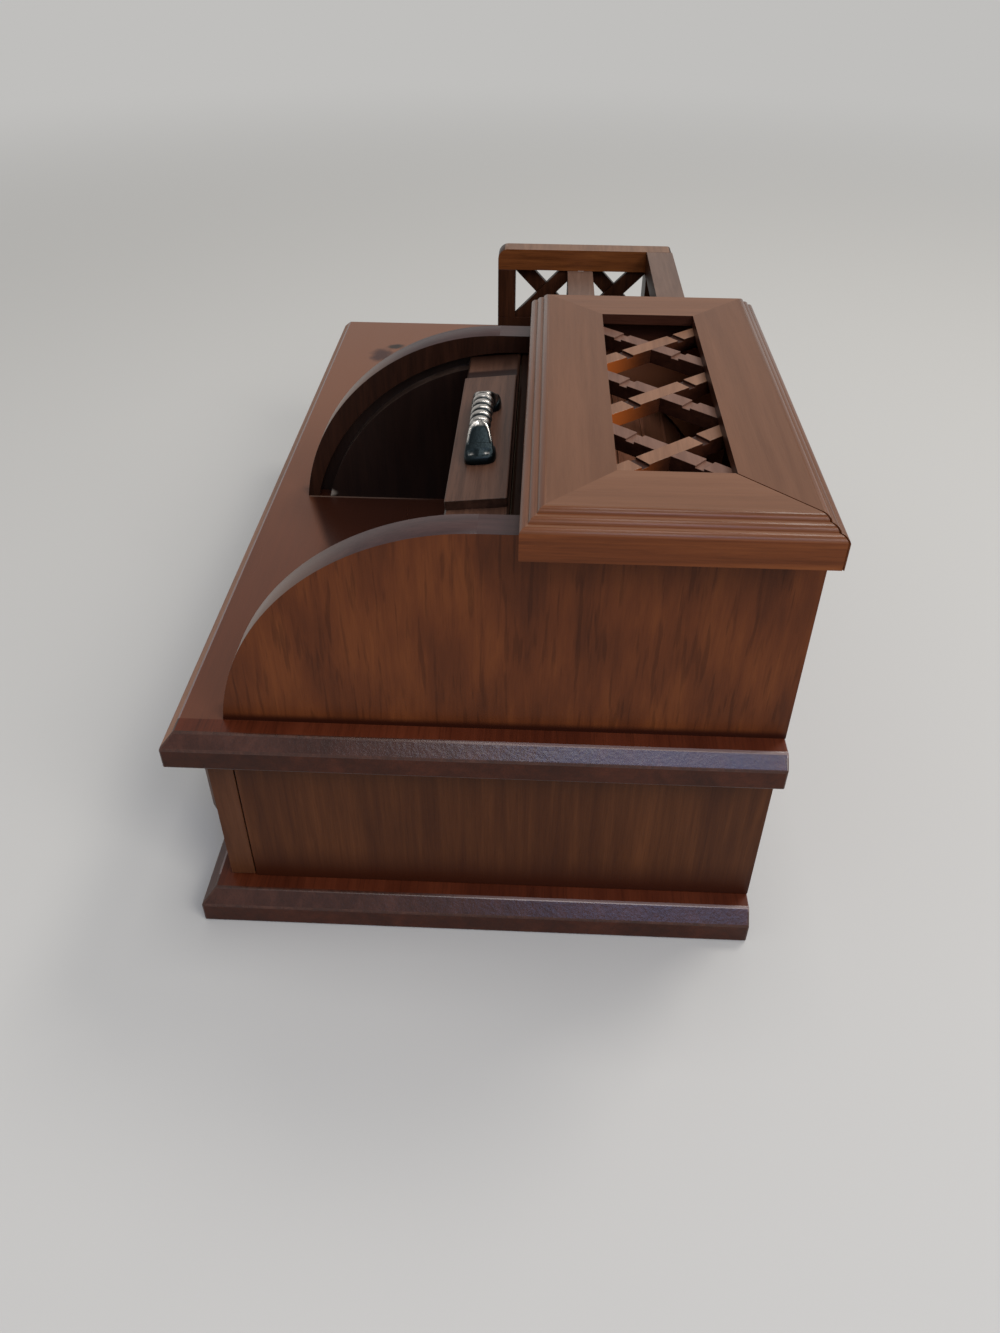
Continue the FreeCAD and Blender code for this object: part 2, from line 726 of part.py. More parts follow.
def clipped(name, shape, centre_x, length, height, z):
    """The part of a strip that lies inside a window about a point on the X axis."""
    window = box(name + "_window",
                 ("%s - (%s) / 2" % (centre_x, length), "%s + (%s) / 2" % (centre_x, length)),
                 ("-(%s) / 2" % height, "(%s) / 2" % height), z)
    obj = doc.addObject("Part::Common", name)
    obj.Base = shape
    obj.Tool = window
    return obj


# Top lattice: crosses with half-lapped middles and two shallow notches on each arm's
# top, drawn about the middle of the window.
LATTICE_X = "(window_right - window_left)"
LATTICE_Y = "(window_back - window_front + 2 * rebate_width - 2 * lattice_play)"
TOP_CELL = "(%s / top_cross_count)" % LATTICE_X
FULL = ("0", "lattice_thick")
HALVES = {"rising": ("lattice_thick / 2", "lattice_thick"), "falling": ("0", "lattice_thick / 2")}

for run, sign in (("rising", 1), ("falling", -1)):
    strips = []
    for i in range(int(value("top_cross_count"))):
        name = "top_%s_%d" % (run, i)
        centre_x = "((%d - (top_cross_count - 1) / 2) * %s)" % (i, TOP_CELL)
        slope = "(%d * top_strip_slope * 1 deg)" % sign
        blank = turned_box(name + "_blank", (centre_x, "0"), slope, LATTICE_Y, "top_strip_width",
                           FULL)
        tools = [turned_box(name + "_lap", (centre_x, "0"), "(-%s)" % slope, LATTICE_Y,
                            "top_strip_width", HALVES[run])]
        for number, way in enumerate((-1, 1)):
            centre = ("%s + %d * notch_offset * cos(%s)" % (centre_x, way, slope),
                      "%d * notch_offset * sin(%s)" % (way, slope))
            tools.append(turned_box("%s_notch_%d" % (name, number), centre, slope,
                                    "notch_length / 2", "top_strip_width + 2",
                                    ("lattice_thick - notch_depth", "lattice_thick")))
        strip = cut(name + "_strip", blank, fuse(name + "_tools", tools))
        strips.append(clipped(name, strip, centre_x, TOP_CELL, LATTICE_Y, FULL))
    lattice = group("top_lattice_" + run, strips)
    bind(lattice, Placement__Base__x="(window_left + window_right) / 2",
         Placement__Base__y="(window_front + window_back) / 2", Placement__Base__z="lattice_low")

# ---------------------------------------------------------------- letter rack


def rack_lattice(label, length, height, crosses):
    """Upright crosses of plain strips in two layers, drawn about an opening's middle."""
    strips = []
    for i in range(int(value(crosses))):
        for run, slope, z in (("rising", "45 deg", ("0", "rack_strip_thick")),
                              ("falling", "(-45 deg)", ("-rack_strip_thick", "0"))):
            name = "%s_%s_%d" % (label, run, i)
            centre_x = "((%d - (%s - 1) / 2) * rack_cross_spacing)" % (i, crosses)
            blank = turned_box(name + "_blank", (centre_x, "0"), slope, height,
                               "rack_strip_width", z)
            strips.append(clipped(name, blank, "0", length, height, z))
    return group(label, strips)


def rack_panel(label, front, top):
    """A long framed lattice panel between the rack's end panel and the cabinet."""
    y = (front, "%s + rack_panel_thick" % front)
    low = "deck_top + rack_rail_height"
    high = "%s - rack_rail_height" % top
    left = "rack_inner + rack_stile_width"
    right = "rack_right - rack_stile_width"
    board(label + "_bottom_rail", ("rack_inner", "rack_right"), y, ("deck_top", low))
    board(label + "_top_rail", ("rack_inner", "rack_right"), y, (high, top))
    board(label + "_left_stile", ("rack_inner", left), y, (low, high))
    board(label + "_right_stile", (right, "rack_right"), y, (low, high))
    lattice = rack_lattice(label + "_lattice", "%s - (%s)" % (right, left),
                           "%s - (%s)" % (high, low), "rack_panel_cross_count")
    lattice.Placement = Placement(Vector(), Rotation(Vector(1, 0, 0), 90))
    bind(lattice, Placement__Base__x="(%s + %s) / 2" % (left, right),
         Placement__Base__y="%s + rack_panel_thick / 2" % front,
         Placement__Base__z="(%s + %s) / 2" % (low, high))


rack_panel("rack_back", "rack_back_front", "rack_top")
rack_panel("rack_divider", "rack_divider_front", "rack_divider_top")

END_X = ("rack_left", "rack_inner")
END_LOW = "(deck_top + rack_rail_height)"
END_HIGH = "(rack_top - rack_rail_height)"
board("rack_end_bottom_rail", END_X, ("rack_front", "rack_back"), ("deck_top", END_LOW))
board("rack_end_front_stile", END_X, ("rack_front", "rack_front_stile"), (END_LOW, END_HIGH))
board("rack_end_rear_stile", END_X, ("rack_back_front", "rack_back"), (END_LOW, END_HIGH))

# The end panel's top rail is rounded at its front and rear corners.
end_rail = node(doc.addObject("PartDesign::Body", "rack_end_top_rail"), "rack_end_top_rail")
end_outline = [("0", "0"), ("rack_width", "0"), ("rack_width", "rack_rail_height"),
               ("0", "rack_rail_height")]
end_pad = pad(end_rail, polygon_sketch(end_rail, "end_rail_outline", "YZ_Plane", [end_outline]),
              "rack_end_thick")
end_top = value("rack_rail_height")
rear = value("rack_width")
rounded = dress(end_rail, "Fillet", end_pad,
                edges_where(end_pad, lambda point: near(point.y, 0) and near(point.z, end_top)),
                "rack_front_radius")
dress(end_rail, "Fillet", rounded,
      edges_where(rounded, lambda point: near(point.y, rear) and near(point.z, end_top)),
      "rack_rear_radius")
bind(end_rail, Placement__Base__x="rack_left", Placement__Base__y="rack_front",
     Placement__Base__z=END_HIGH)

end_lattice = rack_lattice("rack_end_lattice", "rack_back_front - rack_front_stile",
                           "%s - %s" % (END_HIGH, END_LOW), "rack_end_cross_count")
# Local X lies along the rack's depth, local Y upright and local Z along +X.
end_lattice.Placement = Placement(Vector(), Rotation(Vector(1, 1, 1), 120))
bind(end_lattice, Placement__Base__x="(rack_left + rack_inner) / 2",
     Placement__Base__y="(rack_front_stile + rack_back_front) / 2",
     Placement__Base__z="(%s + %s) / 2" % (END_LOW, END_HIGH))

# ---------------------------------------------------------------- checks and export

doc.recompute()
for obj in doc.Objects:
    if "Invalid" in obj.State or "Error" in obj.State:
        raise RuntimeError("%s did not build: %s" % (obj.Label, obj.State))
for obj in nodes:
    if obj.Shape.isNull() or not obj.Shape.isValid() or obj.Shape.Volume <= 0:
        raise RuntimeError("%s has no valid solid" % obj.Label)

os.makedirs("parts", exist_ok=True)
for obj in nodes:
    obj.Shape.exportStep(os.path.join("parts", obj.Label + ".step"))
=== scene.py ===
"""Looks of the desk organiser: stained wood boards, a roll-top box and cast pulls."""

import json
import math

import bmesh
import bpy
from mathutils import Matrix, Vector


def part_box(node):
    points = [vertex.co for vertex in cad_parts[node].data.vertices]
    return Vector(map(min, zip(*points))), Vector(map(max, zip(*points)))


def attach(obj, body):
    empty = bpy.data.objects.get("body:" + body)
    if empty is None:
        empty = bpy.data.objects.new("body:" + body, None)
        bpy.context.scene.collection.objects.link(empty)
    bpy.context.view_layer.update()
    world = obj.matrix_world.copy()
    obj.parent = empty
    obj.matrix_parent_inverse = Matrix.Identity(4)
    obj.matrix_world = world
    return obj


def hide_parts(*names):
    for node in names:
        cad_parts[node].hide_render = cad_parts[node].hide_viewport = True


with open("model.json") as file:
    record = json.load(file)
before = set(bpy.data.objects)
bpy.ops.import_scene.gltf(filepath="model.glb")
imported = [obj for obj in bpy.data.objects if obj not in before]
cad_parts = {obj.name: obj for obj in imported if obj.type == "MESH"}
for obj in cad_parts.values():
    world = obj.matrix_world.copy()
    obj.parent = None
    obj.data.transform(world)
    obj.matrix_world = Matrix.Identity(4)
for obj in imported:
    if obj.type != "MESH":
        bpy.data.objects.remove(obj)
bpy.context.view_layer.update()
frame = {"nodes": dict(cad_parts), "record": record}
NODES = frame["nodes"]

MM = 0.001

# ---------------------------------------------------------------- places from the frame

hinge = next(joint for joint in frame["record"]["behaviour"]["joints"]
             if joint["name"] == "tambour_roll")
track_axis = Vector(hinge["pos_m"])
deck_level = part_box("deck_board")[1].z
plinth_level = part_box("plinth_board")[1].z
case_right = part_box("case_side_right")[1].x
side_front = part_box("cabinet_side_left")[0].y
cavity_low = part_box("cabinet_side_left")[1].x
cavity_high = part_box("cabinet_side_right")[0].x
board_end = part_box("tambour_lead_board")[0].x
lattice_low, lattice_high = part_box("top_lattice_rising")
opening_middle = (lattice_low + lattice_high) / 2

# ---------------------------------------------------------------- colours


def srgb(red, green, blue):
    """A screen colour in 0 to 255 steps as the linear colour that shaders take."""
    def linear(step):
        part = step / 255
        return part / 12.92 if part <= 0.04045 else ((part + 0.055) / 1.055) ** 2.4
    return (linear(red), linear(green), linear(blue), 1)


def grey(level):
    """A linear grey from 0 for black to 1 for white."""
    return (level, level, level, 1)


# ---------------------------------------------------------------- material helpers


class Graph:
    """A material and a short way to write its nodes."""

    def __init__(self, name):
        self.material = bpy.data.materials.new(name)
        self.material.use_nodes = True
        self.tree = self.material.node_tree
        self.shader = self.tree.nodes["Principled BSDF"]
        self.colour = None

    def add(self, kind, values=None, **settings):
        """A new node with its settings and its sockets' values or links."""
        made = self.tree.nodes.new("ShaderNode" + kind)
        for key, setting in settings.items():
            setattr(made, key, setting)
        for socket, entry in (values or {}).items():
            self.put(made.inputs[socket], entry)
        return made

    def put(self, socket, entry):
        """Set a socket's value, or link it to another node's output."""
        if isinstance(entry, bpy.types.NodeSocket):
            self.tree.links.new(entry, socket)
        else:
            socket.default_value = entry

    def surface(self, **values):
        """Set or link the main shader's sockets."""
        for name, entry in values.items():
            self.put(self.shader.inputs[name.replace("_", " ")], entry)

    def calc(self, operation, first, second=0.0):
        """One step of arithmetic on numbers or outputs."""
        return self.add("Math", {0: first, 1: second}, operation=operation).outputs[0]

    def product(self, first, *others):
        """Masks or numbers multiplied together."""
        for other in others:
            first = self.calc("MULTIPLY", first, other)
        return first

    def ramp(self, fac, stops):
        """A colour or grey ramp from (place, colour) stops."""
        made = self.add("ValToRGB", {"Fac": fac})
        elements = made.color_ramp.elements
        while len(elements) < len(stops):
            elements.new(0.5)
        for element, (place, colour) in zip(elements, stops):
            element.position = place
            element.color = colour
        return made.outputs["Color"]

    def mix(self, fac, first, second, blend="MIX"):
        """Two colours blended by a factor."""
        made = self.add("Mix", data_type="RGBA", blend_type=blend)
        self.put(made.inputs[0], fac)
        self.put(made.inputs[6], first)
        self.put(made.inputs[7], second)
        return made.outputs[2]

    def place(self, scale, offset=(0, 0, 0)):
        """The object's own coordinates, in metres, scaled and shifted."""
        coords = self.add("TexCoord").outputs["Object"]
        return self.add("Mapping", {"Vector": coords, "Location": offset,
                                    "Scale": scale}).outputs["Vector"]

    def coordinate(self, axis):
        """One of the object's own coordinates in metres."""
        coords = self.add("TexCoord").outputs["Object"]
        return self.add("SeparateXYZ", {0: coords}).outputs[axis]

    def step(self, value, low, high):
        """0 below low, 1 above high and a smooth step between them."""
        made = self.add("MapRange", {"Value": value, "From Min": low, "From Max": high},
                        interpolation_type="SMOOTHSTEP")
        return made.outputs["Result"]

    def past(self, axis, low, high):
        """A mask that rises from 0 to 1 between two places on an axis."""
        return self.step(self.coordinate(axis), low, high)

    def before(self, axis, low, high):
        """A mask that falls from 1 to 0 between two places on an axis."""
        return self.calc("SUBTRACT", 1.0, self.past(axis, low, high))

    def below(self, axis, limit):
        """A mask that drops sharply from 1 to 0 at a place on an axis."""
        return self.calc("LESS_THAN", self.coordinate(axis), limit)

    def noise(self, vector, detail=3.0, roughness=0.55, distortion=0.0):
        """Soft noise from 0 to 1."""
        return self.add("TexNoise", {"Vector": vector, "Scale": 1.0, "Detail": detail,
                                     "Roughness": roughness,
                                     "Distortion": distortion}).outputs["Fac"]

    def bump(self, height, strength, depth):
        """The surface's normal, roughened by a height."""
        return self.add("Bump", {"Strength": strength, "Distance": depth,
                                 "Height": height}).outputs["Normal"]

    def paint(self, colour):
        """Make a colour the wood's own."""
        self.colour = colour
        self.surface(Base_Color=colour)

    def darken(self, shade):
        """Multiply the wood's colour by a shade."""
        self.paint(self.mix(1.0, self.colour, shade, "MULTIPLY"))

    def recolour(self, mask, colour, share=1.0):
        """Lay a share of a colour over the wood where a mask is 1."""
        self.paint(self.mix(self.product(mask, share), self.colour, colour))


GRAIN_AXES = {"x": 0, "y": 1, "z": 2}


def along(grain, length, width):
    """Noise scales for streaks of a length along the grain and a width across it."""
    scale = [1 / width] * 3
    scale[GRAIN_AXES[grain]] = 1 / length
    return tuple(scale)


# A blotch is this many times as long and as wide as a streak. Flecks and pores have the same
# length along the grain and width across it, in metres, on every board.
BLOTCH_LENGTH = 1.6
BLOTCH_WIDTH = 5
FLECK = (0.017, 0.0015)
PORE = (0.009, 0.00045)
# The noise levels between which a fleck deepens and a pore ends.
FLECK_LEVELS = (0.56, 0.66)
PORE_LEVELS = (0.34, 0.48)
# How much smoother and rougher than its mean a board is in places.
SMOOTHER = 0.05
ROUGHER = 0.08
# How far one step of the seed moves a board's pattern on each axis.
SEED_SHIFT = (1.7, 2.3, 3.1)


def wood(name, grain, dark, mid, light, streak=(0.03, 0.0022), blotch=0.35, contrast=0.18,
         pores=0.25, flecks=0.0, rough=0.36, specular=0.15, seed=0.0):
    """Stained, lacquered wood with streaks, soft blotches and fine pores along the grain."""
    graph = Graph(name)
    shift = tuple(seed * move for move in SEED_SHIFT)

    def marks(size, **character):
        """Noise in marks of a length and width along the grain."""
        return graph.noise(graph.place(along(grain, *size), shift), **character)

    streaks = marks(streak, detail=4, roughness=0.6, distortion=0.35)
    blotches = marks((streak[0] * BLOTCH_LENGTH, streak[1] * BLOTCH_WIDTH),
                     detail=2, roughness=0.5)
    graph.paint(graph.ramp(graph.mix(blotch, streaks, blotches),
                           [(0.5 - contrast, dark), (0.5, mid), (0.5 + contrast, light)]))
    if flecks:
        low, high = FLECK_LEVELS
        spots = marks(FLECK, detail=2, roughness=0.5, distortion=0.2)
        graph.darken(graph.ramp(spots, [(low, grey(1)), (high, grey(1 - flecks))]))
    low, high = PORE_LEVELS
    fine = marks(PORE, detail=2, roughness=0.6)
    graph.darken(graph.ramp(fine, [(low, grey(1 - pores)), (high, grey(1))]))
    uneven = graph.add("MapRange", {"Value": blotches, "To Min": rough - SMOOTHER,
                                    "To Max": rough + ROUGHER})
    graph.surface(Roughness=uneven.outputs["Result"], Specular_IOR_Level=specular,
                  Normal=graph.bump(fine, strength=0.12, depth=0.2 * MM))
    return graph


# A stain's oval is 1, and noise of 0 to 1 is added: full below the first level, gone above
# the second. The noise has this many cells per metre.
STAIN_LEVELS = (0.9, 1.7)
RAGGED_SCALE = (300, 300, 300)


def stain(graph, colour, **oval):
    """Colour a ragged oval, given by its centre and half size on each axis in millimetres."""
    total = 0.0
    for axis, (middle, half) in oval.items():
        off = graph.calc("SUBTRACT", graph.coordinate(axis), middle * MM)
        part = graph.calc("DIVIDE", off, half * MM)
        total = graph.calc("ADD", total, graph.product(part, part))
    ragged = graph.calc("ADD", graph.calc("SQRT", total), graph.noise(graph.place(RAGGED_SCALE)))
    graph.recolour(graph.calc("SUBTRACT", 1.0, graph.step(ragged, *STAIN_LEVELS)), colour)


def dress(graph, *names):
    """Give CAD nodes a material."""
    for name in names:
        slots = NODES[name].data.materials
        slots.clear()
        slots.append(graph.material)


def dress_faces(graph, names, test):
    """Give a material to those faces of CAD nodes whose normal and centre pass a test."""
    for name in names:
        mesh = NODES[name].data
        mesh.materials.append(graph.material)
        for face in mesh.polygons:
            if test(face.normal, face.center):
                face.material_index = len(mesh.materials) - 1


# A face leans along an axis when its normal's part on that axis is above LEANS, looks mostly
# along it above MOSTLY, and is square to it above SQUARE or, for tops, above LEVEL.
LEANS = 0.3
MOSTLY = 0.5
SQUARE = 0.9
LEVEL = 0.95


def up(normal, centre):
    """A level top."""
    return normal.z > LEVEL


def sloped(normal, centre):
    """A bevel, or the flank of a reed."""
    return LEANS < normal.z <= LEVEL


def upright(normal):
    """A face that stands up, or nearly so."""
    return abs(normal.z) < LEANS


def sideways(normal):
    """A face that looks mostly along X, either way."""
    return abs(normal.x) > MOSTLY


def endwise(normal, centre):
    """The end of a board that runs along X."""
    return abs(normal.x) > SQUARE


# ---------------------------------------------------------------- cabinet

# Radii about the axis that the curtain turns on, how far off a place a face's centre may
# lie, and a reach into the sides that is deeper than their grooves.
GROOVE_INNER = 68.8 * MM
GROOVE_OUTER = 72.7 * MM
SLAT_OUTER = 70.4 * MM
SLACK = 0.6 * MM
GROOVE_REACH = 5 * MM
# A rim's face looks to the front or up by more than this.
RIM_OUTLOOK = 0.1

CABINET_SIDES = ["cabinet_side_left", "cabinet_side_right"]
CABINET_BOARDS = ["cabinet_back", "cabinet_guard_rail"]


def from_axis(point):
    """A point's distance from the axis that the slats turn about."""
    return math.hypot(point.y - track_axis.y, point.z - track_axis.z)


def on_rim(normal, centre):
    """A side's outer edge, along its front and round its quarter circle."""
    return (not sideways(normal) and normal.z - normal.y > RIM_OUTLOOK
            and from_axis(centre) > GROOVE_OUTER + MM)


def in_cavity(normal, centre):
    """The inside of a side, with the walls of its groove."""
    return (from_axis(centre) < GROOVE_OUTER + MM
            and cavity_low - GROOVE_REACH < centre.x < cavity_high + GROOVE_REACH)


def on_lip(normal, centre):
    """The groove's inner wall."""
    return abs(from_axis(centre) - GROOVE_INNER) < SLACK and not sideways(normal)


def on_band(normal, centre):
    """The inside of a side beyond its groove."""
    return (from_axis(centre) > GROOVE_OUTER and sideways(normal)
            and cavity_low - SLACK < centre.x < cavity_high + SLACK)


# Rich brown outside, with a painted shade line along its foot at the deck.
FOOT_SHADE = 0.8 * MM
FOOT_SHADE_END = 3 * MM
cabinet_wood = wood("cabinet_wood", "z", srgb(76, 38, 19), srgb(92, 47, 23), srgb(108, 58, 28),
                    streak=(0.022, 0.003), blotch=0.62, contrast=0.15, pores=0.08, flecks=0.28,
                    seed=2.1)
cabinet_wood.recolour(cabinet_wood.before("Z", deck_level + FOOT_SHADE,
                                          deck_level + FOOT_SHADE_END), srgb(46, 17, 7))

# Greyer rims, with a painted sheen that makes them paler towards their feet.
RIM_SHEEN_FULL = -60 * MM
RIM_SHEEN_END = -24 * MM
rim_wood = wood("rim_wood", "y", srgb(44, 27, 27), srgb(54, 34, 34), srgb(66, 44, 42),
                specular=0.35, rough=0.34, seed=2.6)
rim_wood.recolour(rim_wood.before("Y", RIM_SHEEN_FULL, RIM_SHEEN_END), srgb(118, 93, 80), share=0.9)

# Painted shade makes the inside nearly black and the band beyond the groove dark; behind
# the rolled-up slats painted light turns that band a warm, paler brown.
BAND_LIGHT_START = 20 * MM
BAND_LIGHT_FULL = 34 * MM
cavity_wood = wood("cavity_wood", "z", srgb(20, 11, 8), srgb(27, 15, 11), srgb(34, 20, 14),
                   seed=3.3, rough=0.3, specular=0.3)
band_wood = wood("band_wood", "z", srgb(28, 14, 9), srgb(39, 20, 12), srgb(50, 27, 17), seed=3.3)
band_wood.recolour(band_wood.past("Y", BAND_LIGHT_START, BAND_LIGHT_FULL), srgb(150, 96, 68))
# The groove's inner wall is paler than the inside: a painted highlight on its lip.
lip_highlight_wood = wood("lip_highlight_wood", "y", srgb(40, 29, 24), srgb(56, 43, 36), srgb(74, 60, 52),
                streak=(0.008, 0.004), seed=1.9)
# A small pale spot sits at the foot of the left side's groove.
stain(cavity_wood, srgb(140, 130, 118), X=(cavity_low / MM, 3), Y=(-59, 2.4),
      Z=(deck_level / MM + 1.4, 1.6))

dress(cabinet_wood, *CABINET_SIDES, *CABINET_BOARDS)
dress_faces(rim_wood, CABINET_SIDES, on_rim)
dress_faces(cavity_wood, CABINET_SIDES, in_cavity)
dress_faces(lip_highlight_wood, CABINET_SIDES, on_lip)
dress_faces(band_wood, CABINET_SIDES, on_band)
dress_faces(cavity_wood, CABINET_BOARDS, lambda normal, centre: normal.y < MOSTLY)

# ---------------------------------------------------------------- case and drawer

# Plainer brown with fine upright grain, darkened at its foot by painted shade.
CASE_FOOT_SHADE = 16 * MM
case_wood = wood("case_wood", "z", srgb(62, 31, 15), srgb(76, 41, 20), srgb(92, 52, 27),
                 streak=(0.05, 0.002), blotch=0.45, contrast=0.18, pores=0.12, seed=4.1)
case_wood.recolour(case_wood.before("Z", plinth_level, plinth_level + CASE_FOOT_SHADE),
                   srgb(52, 21, 9))
dress(case_wood, "case_side_left", "case_side_right", "case_back")

front_wood = wood("front_wood", "x", srgb(56, 32, 18), srgb(80, 48, 30), srgb(100, 62, 38),
                  streak=(0.05, 0.002), seed=9.2)
end_wood = wood("end_wood", "z", srgb(66, 37, 22), srgb(82, 48, 29), srgb(92, 56, 35),
                streak=(0.03, 0.003), pores=0.1, seed=9.9)
# The raised panel's ends are dark with painted shade.
shaded_end = wood("shaded_end_wood", "z", srgb(24, 13, 9), srgb(36, 20, 14), srgb(48, 28, 19),
                streak=(0.03, 0.003), seed=9.4)
dress(front_wood, "drawer_front_board", "drawer_raised_panel")
dress_faces(end_wood, ["drawer_front_board"], endwise)
dress_faces(shaded_end, ["drawer_raised_panel"], endwise)

drawer_wood = wood("drawer_wood", "y", srgb(120, 84, 52), srgb(150, 110, 72), srgb(172, 132, 92),
                   rough=0.6, seed=8.1)
dress(drawer_wood, "drawer_side_left", "drawer_side_right", "drawer_back", "drawer_bottom")

# ---------------------------------------------------------------- deck and plinth

# Dark red-brown edges with glossy bevels.
BASE_BOARDS = ["deck_board", "plinth_board"]
BASE_STREAK = (0.06, 0.003)
DARK_SHADES = (srgb(44, 19, 10), srgb(58, 26, 14), srgb(74, 35, 20))
RED_SHADES = (srgb(60, 24, 12), srgb(78, 34, 18), srgb(92, 43, 24))
edge_wood = wood("edge_wood", "x", *DARK_SHADES, streak=BASE_STREAK, blotch=0.5, rough=0.3,
                 specular=0.2, seed=7.7)
bevel_wood = wood("bevel_wood", "x", srgb(44, 20, 13), srgb(56, 28, 20), srgb(70, 38, 28),
                  streak=BASE_STREAK, blotch=0.5, rough=0.22, specular=0.37, seed=7.9)
# The bevels' lacquer is uneven, which breaks up the light on them.
LACQUER_SCALE = (900, 900, 900)
bevel_wood.surface(Normal=bevel_wood.bump(
    bevel_wood.noise(bevel_wood.place(LACQUER_SCALE)), strength=0.3, depth=0.2 * MM))
# A pale wood for the deck's front bevel: a painted highlight.
bevel_highlight = wood("bevel_highlight_wood", "x", srgb(112, 78, 60), srgb(132, 94, 74),
                  srgb(150, 110, 88), streak=BASE_STREAK, blotch=0.5, rough=0.5,
                  specular=0.15, seed=7.4)
plinth_top = wood("plinth_top_wood", "x", *RED_SHADES, streak=BASE_STREAK, blotch=0.5,
                  specular=0.25, rough=0.28, seed=7.1)
deck_wood = wood("deck_wood", "x", *RED_SHADES, streak=BASE_STREAK, blotch=0.5,
                 specular=0.25, rough=0.28, seed=7.7)

# A painted sheen makes the deck's top paler, but for the strip beyond the case, and most at
# its far end.
DECK_SHEEN_FULL = -60 * MM
DECK_SHEEN_END = 80 * MM
over_case = deck_wood.below("X", case_right)
deck_wood.recolour(over_case, srgb(92, 57, 42), share=0.7)
deck_wood.recolour(deck_wood.before("X", DECK_SHEEN_FULL, DECK_SHEEN_END), srgb(112, 72, 50),
                   share=0.75)

# Under the roll-top the deck is darkened by painted shade. The painted shadow's edge starts
# at the left side's foot and slants back before it runs straight.
SHADED_LEFT = cavity_low - 6 * MM
SHADED_FRONT = -76 * MM
SHADED_SLANT = 0.35
SHADED_STRAIGHT = (-58 * MM, -50 * MM)
slanted = deck_wood.calc("SUBTRACT", deck_wood.coordinate("Y"),
                         deck_wood.product(deck_wood.coordinate("X"), SHADED_SLANT))
behind_edge = deck_wood.calc("MAXIMUM",
                             deck_wood.step(slanted, SHADED_FRONT, SHADED_FRONT + 4 * MM),
                             deck_wood.past("Y", *SHADED_STRAIGHT))
from_side = deck_wood.past("X", SHADED_LEFT, SHADED_LEFT + MM)
deck_wood.recolour(deck_wood.product(from_side, behind_edge, over_case), srgb(42, 18, 10),
                   share=0.95)

# Two dark red-brown spots lie near the deck's far front corner.
stain(deck_wood, srgb(52, 17, 7), X=(-107.5, 8.3), Y=(-58.4, 5.3))
stain(deck_wood, srgb(30, 14, 4), X=(-118, 3.4), Y=(-52.6, 4))

# A painted highlight runs along the joint at the foot of the cabinet's left side.
JOINT_GLINT_EDGE = 0.2 * MM
JOINT_GLINT_WIDTH = 0.9 * MM
JOINT_GLINT_THINS = -40 * MM
JOINT_GLINT_ENDS = -15 * MM
joint_glint = deck_wood.product(deck_wood.past("X", cavity_low, cavity_low + JOINT_GLINT_EDGE),
                         deck_wood.below("X", cavity_low + JOINT_GLINT_WIDTH),
                         deck_wood.past("Y", side_front, side_front + MM),
                         deck_wood.before("Y", JOINT_GLINT_THINS, JOINT_GLINT_ENDS))
deck_wood.recolour(joint_glint, srgb(112, 92, 80), share=0.6)

# Painted highlights make the arrises above the bevels pale, but for the front half of the
# right end.
ARRIS_START = 1.2 * MM
ARRIS_FULL = 0.6 * MM
GLINT_START = -25 * MM
GLINT_FULL = 20 * MM
arris_glint_wood = wood("arris_glint_wood", "x", srgb(46, 22, 14), srgb(60, 31, 21), srgb(78, 44, 32),
                   rough=0.25, specular=0.5, seed=8.8)
on_deck = arris_glint_wood.past("Z", deck_level - ARRIS_START, deck_level - ARRIS_FULL)
on_plinth = arris_glint_wood.product(
    arris_glint_wood.past("Z", plinth_level - ARRIS_START, plinth_level - ARRIS_FULL),
    arris_glint_wood.below("Z", plinth_level + MM))
glint_length = arris_glint_wood.calc("MAXIMUM", arris_glint_wood.past("Y", GLINT_START, GLINT_FULL),
                                 arris_glint_wood.below("X", case_right))
arris_glint_wood.recolour(arris_glint_wood.product(arris_glint_wood.calc("MAXIMUM", on_deck, on_plinth),
                                         glint_length), srgb(112, 92, 90))

dress(edge_wood, *BASE_BOARDS)
dress_faces(bevel_wood, BASE_BOARDS,
            lambda normal, centre: sloped(normal, centre) and abs(normal.x) > LEANS)
# The deck's front bevel is pale with a painted highlight.
dress_faces(bevel_highlight, ["deck_board"],
            lambda normal, centre: sloped(normal, centre) and normal.y < -LEANS)
dress_faces(deck_wood, ["deck_board"], up)
dress_faces(plinth_top, ["plinth_board"], up)

# ---------------------------------------------------------------- top frame

FRAME_X = ["frame_rail_front", "frame_rail_back"]
FRAME_Y = ["frame_rail_left", "frame_rail_right"]


def faces_opening(normal, centre):
    """A frame rail's upright face that looks at the middle of the frame."""
    inwards = opening_middle - centre
    inwards.z = 0
    return upright(normal) and normal.dot(inwards.normalized()) > LEANS


def dress_rails(names, grain, gloss, top_shades, reed_shades):
    """Rails with an orange-brown fascia, glossy reeds and a smooth top with painted sheen."""
    fascia = wood("fascia_wood_" + grain, grain, srgb(84, 43, 21), srgb(102, 54, 27),
                  srgb(118, 66, 34), streak=(0.07, 0.0018), contrast=0.16, pores=0.15, seed=2.2)
    reeds = wood("reed_wood_" + grain, grain, *reed_shades, streak=(0.07, 0.0012), pores=0.12,
                 specular=gloss, rough=0.24, seed=3.2)
    top = wood("frame_wood_" + grain, grain, *top_shades, streak=(0.07, 0.0024), blotch=0.5,
               contrast=0.18, pores=0.08, specular=0.22, seed=5.5)
    inner = wood("frame_inner_wood_" + grain, grain, srgb(40, 20, 14), srgb(54, 28, 19),
                 srgb(66, 36, 25), seed=1.5)
    dress(fascia, *names)
    dress_faces(reeds, names, sloped)
    dress_faces(top, names, up)
    dress_faces(inner, names, faces_opening)


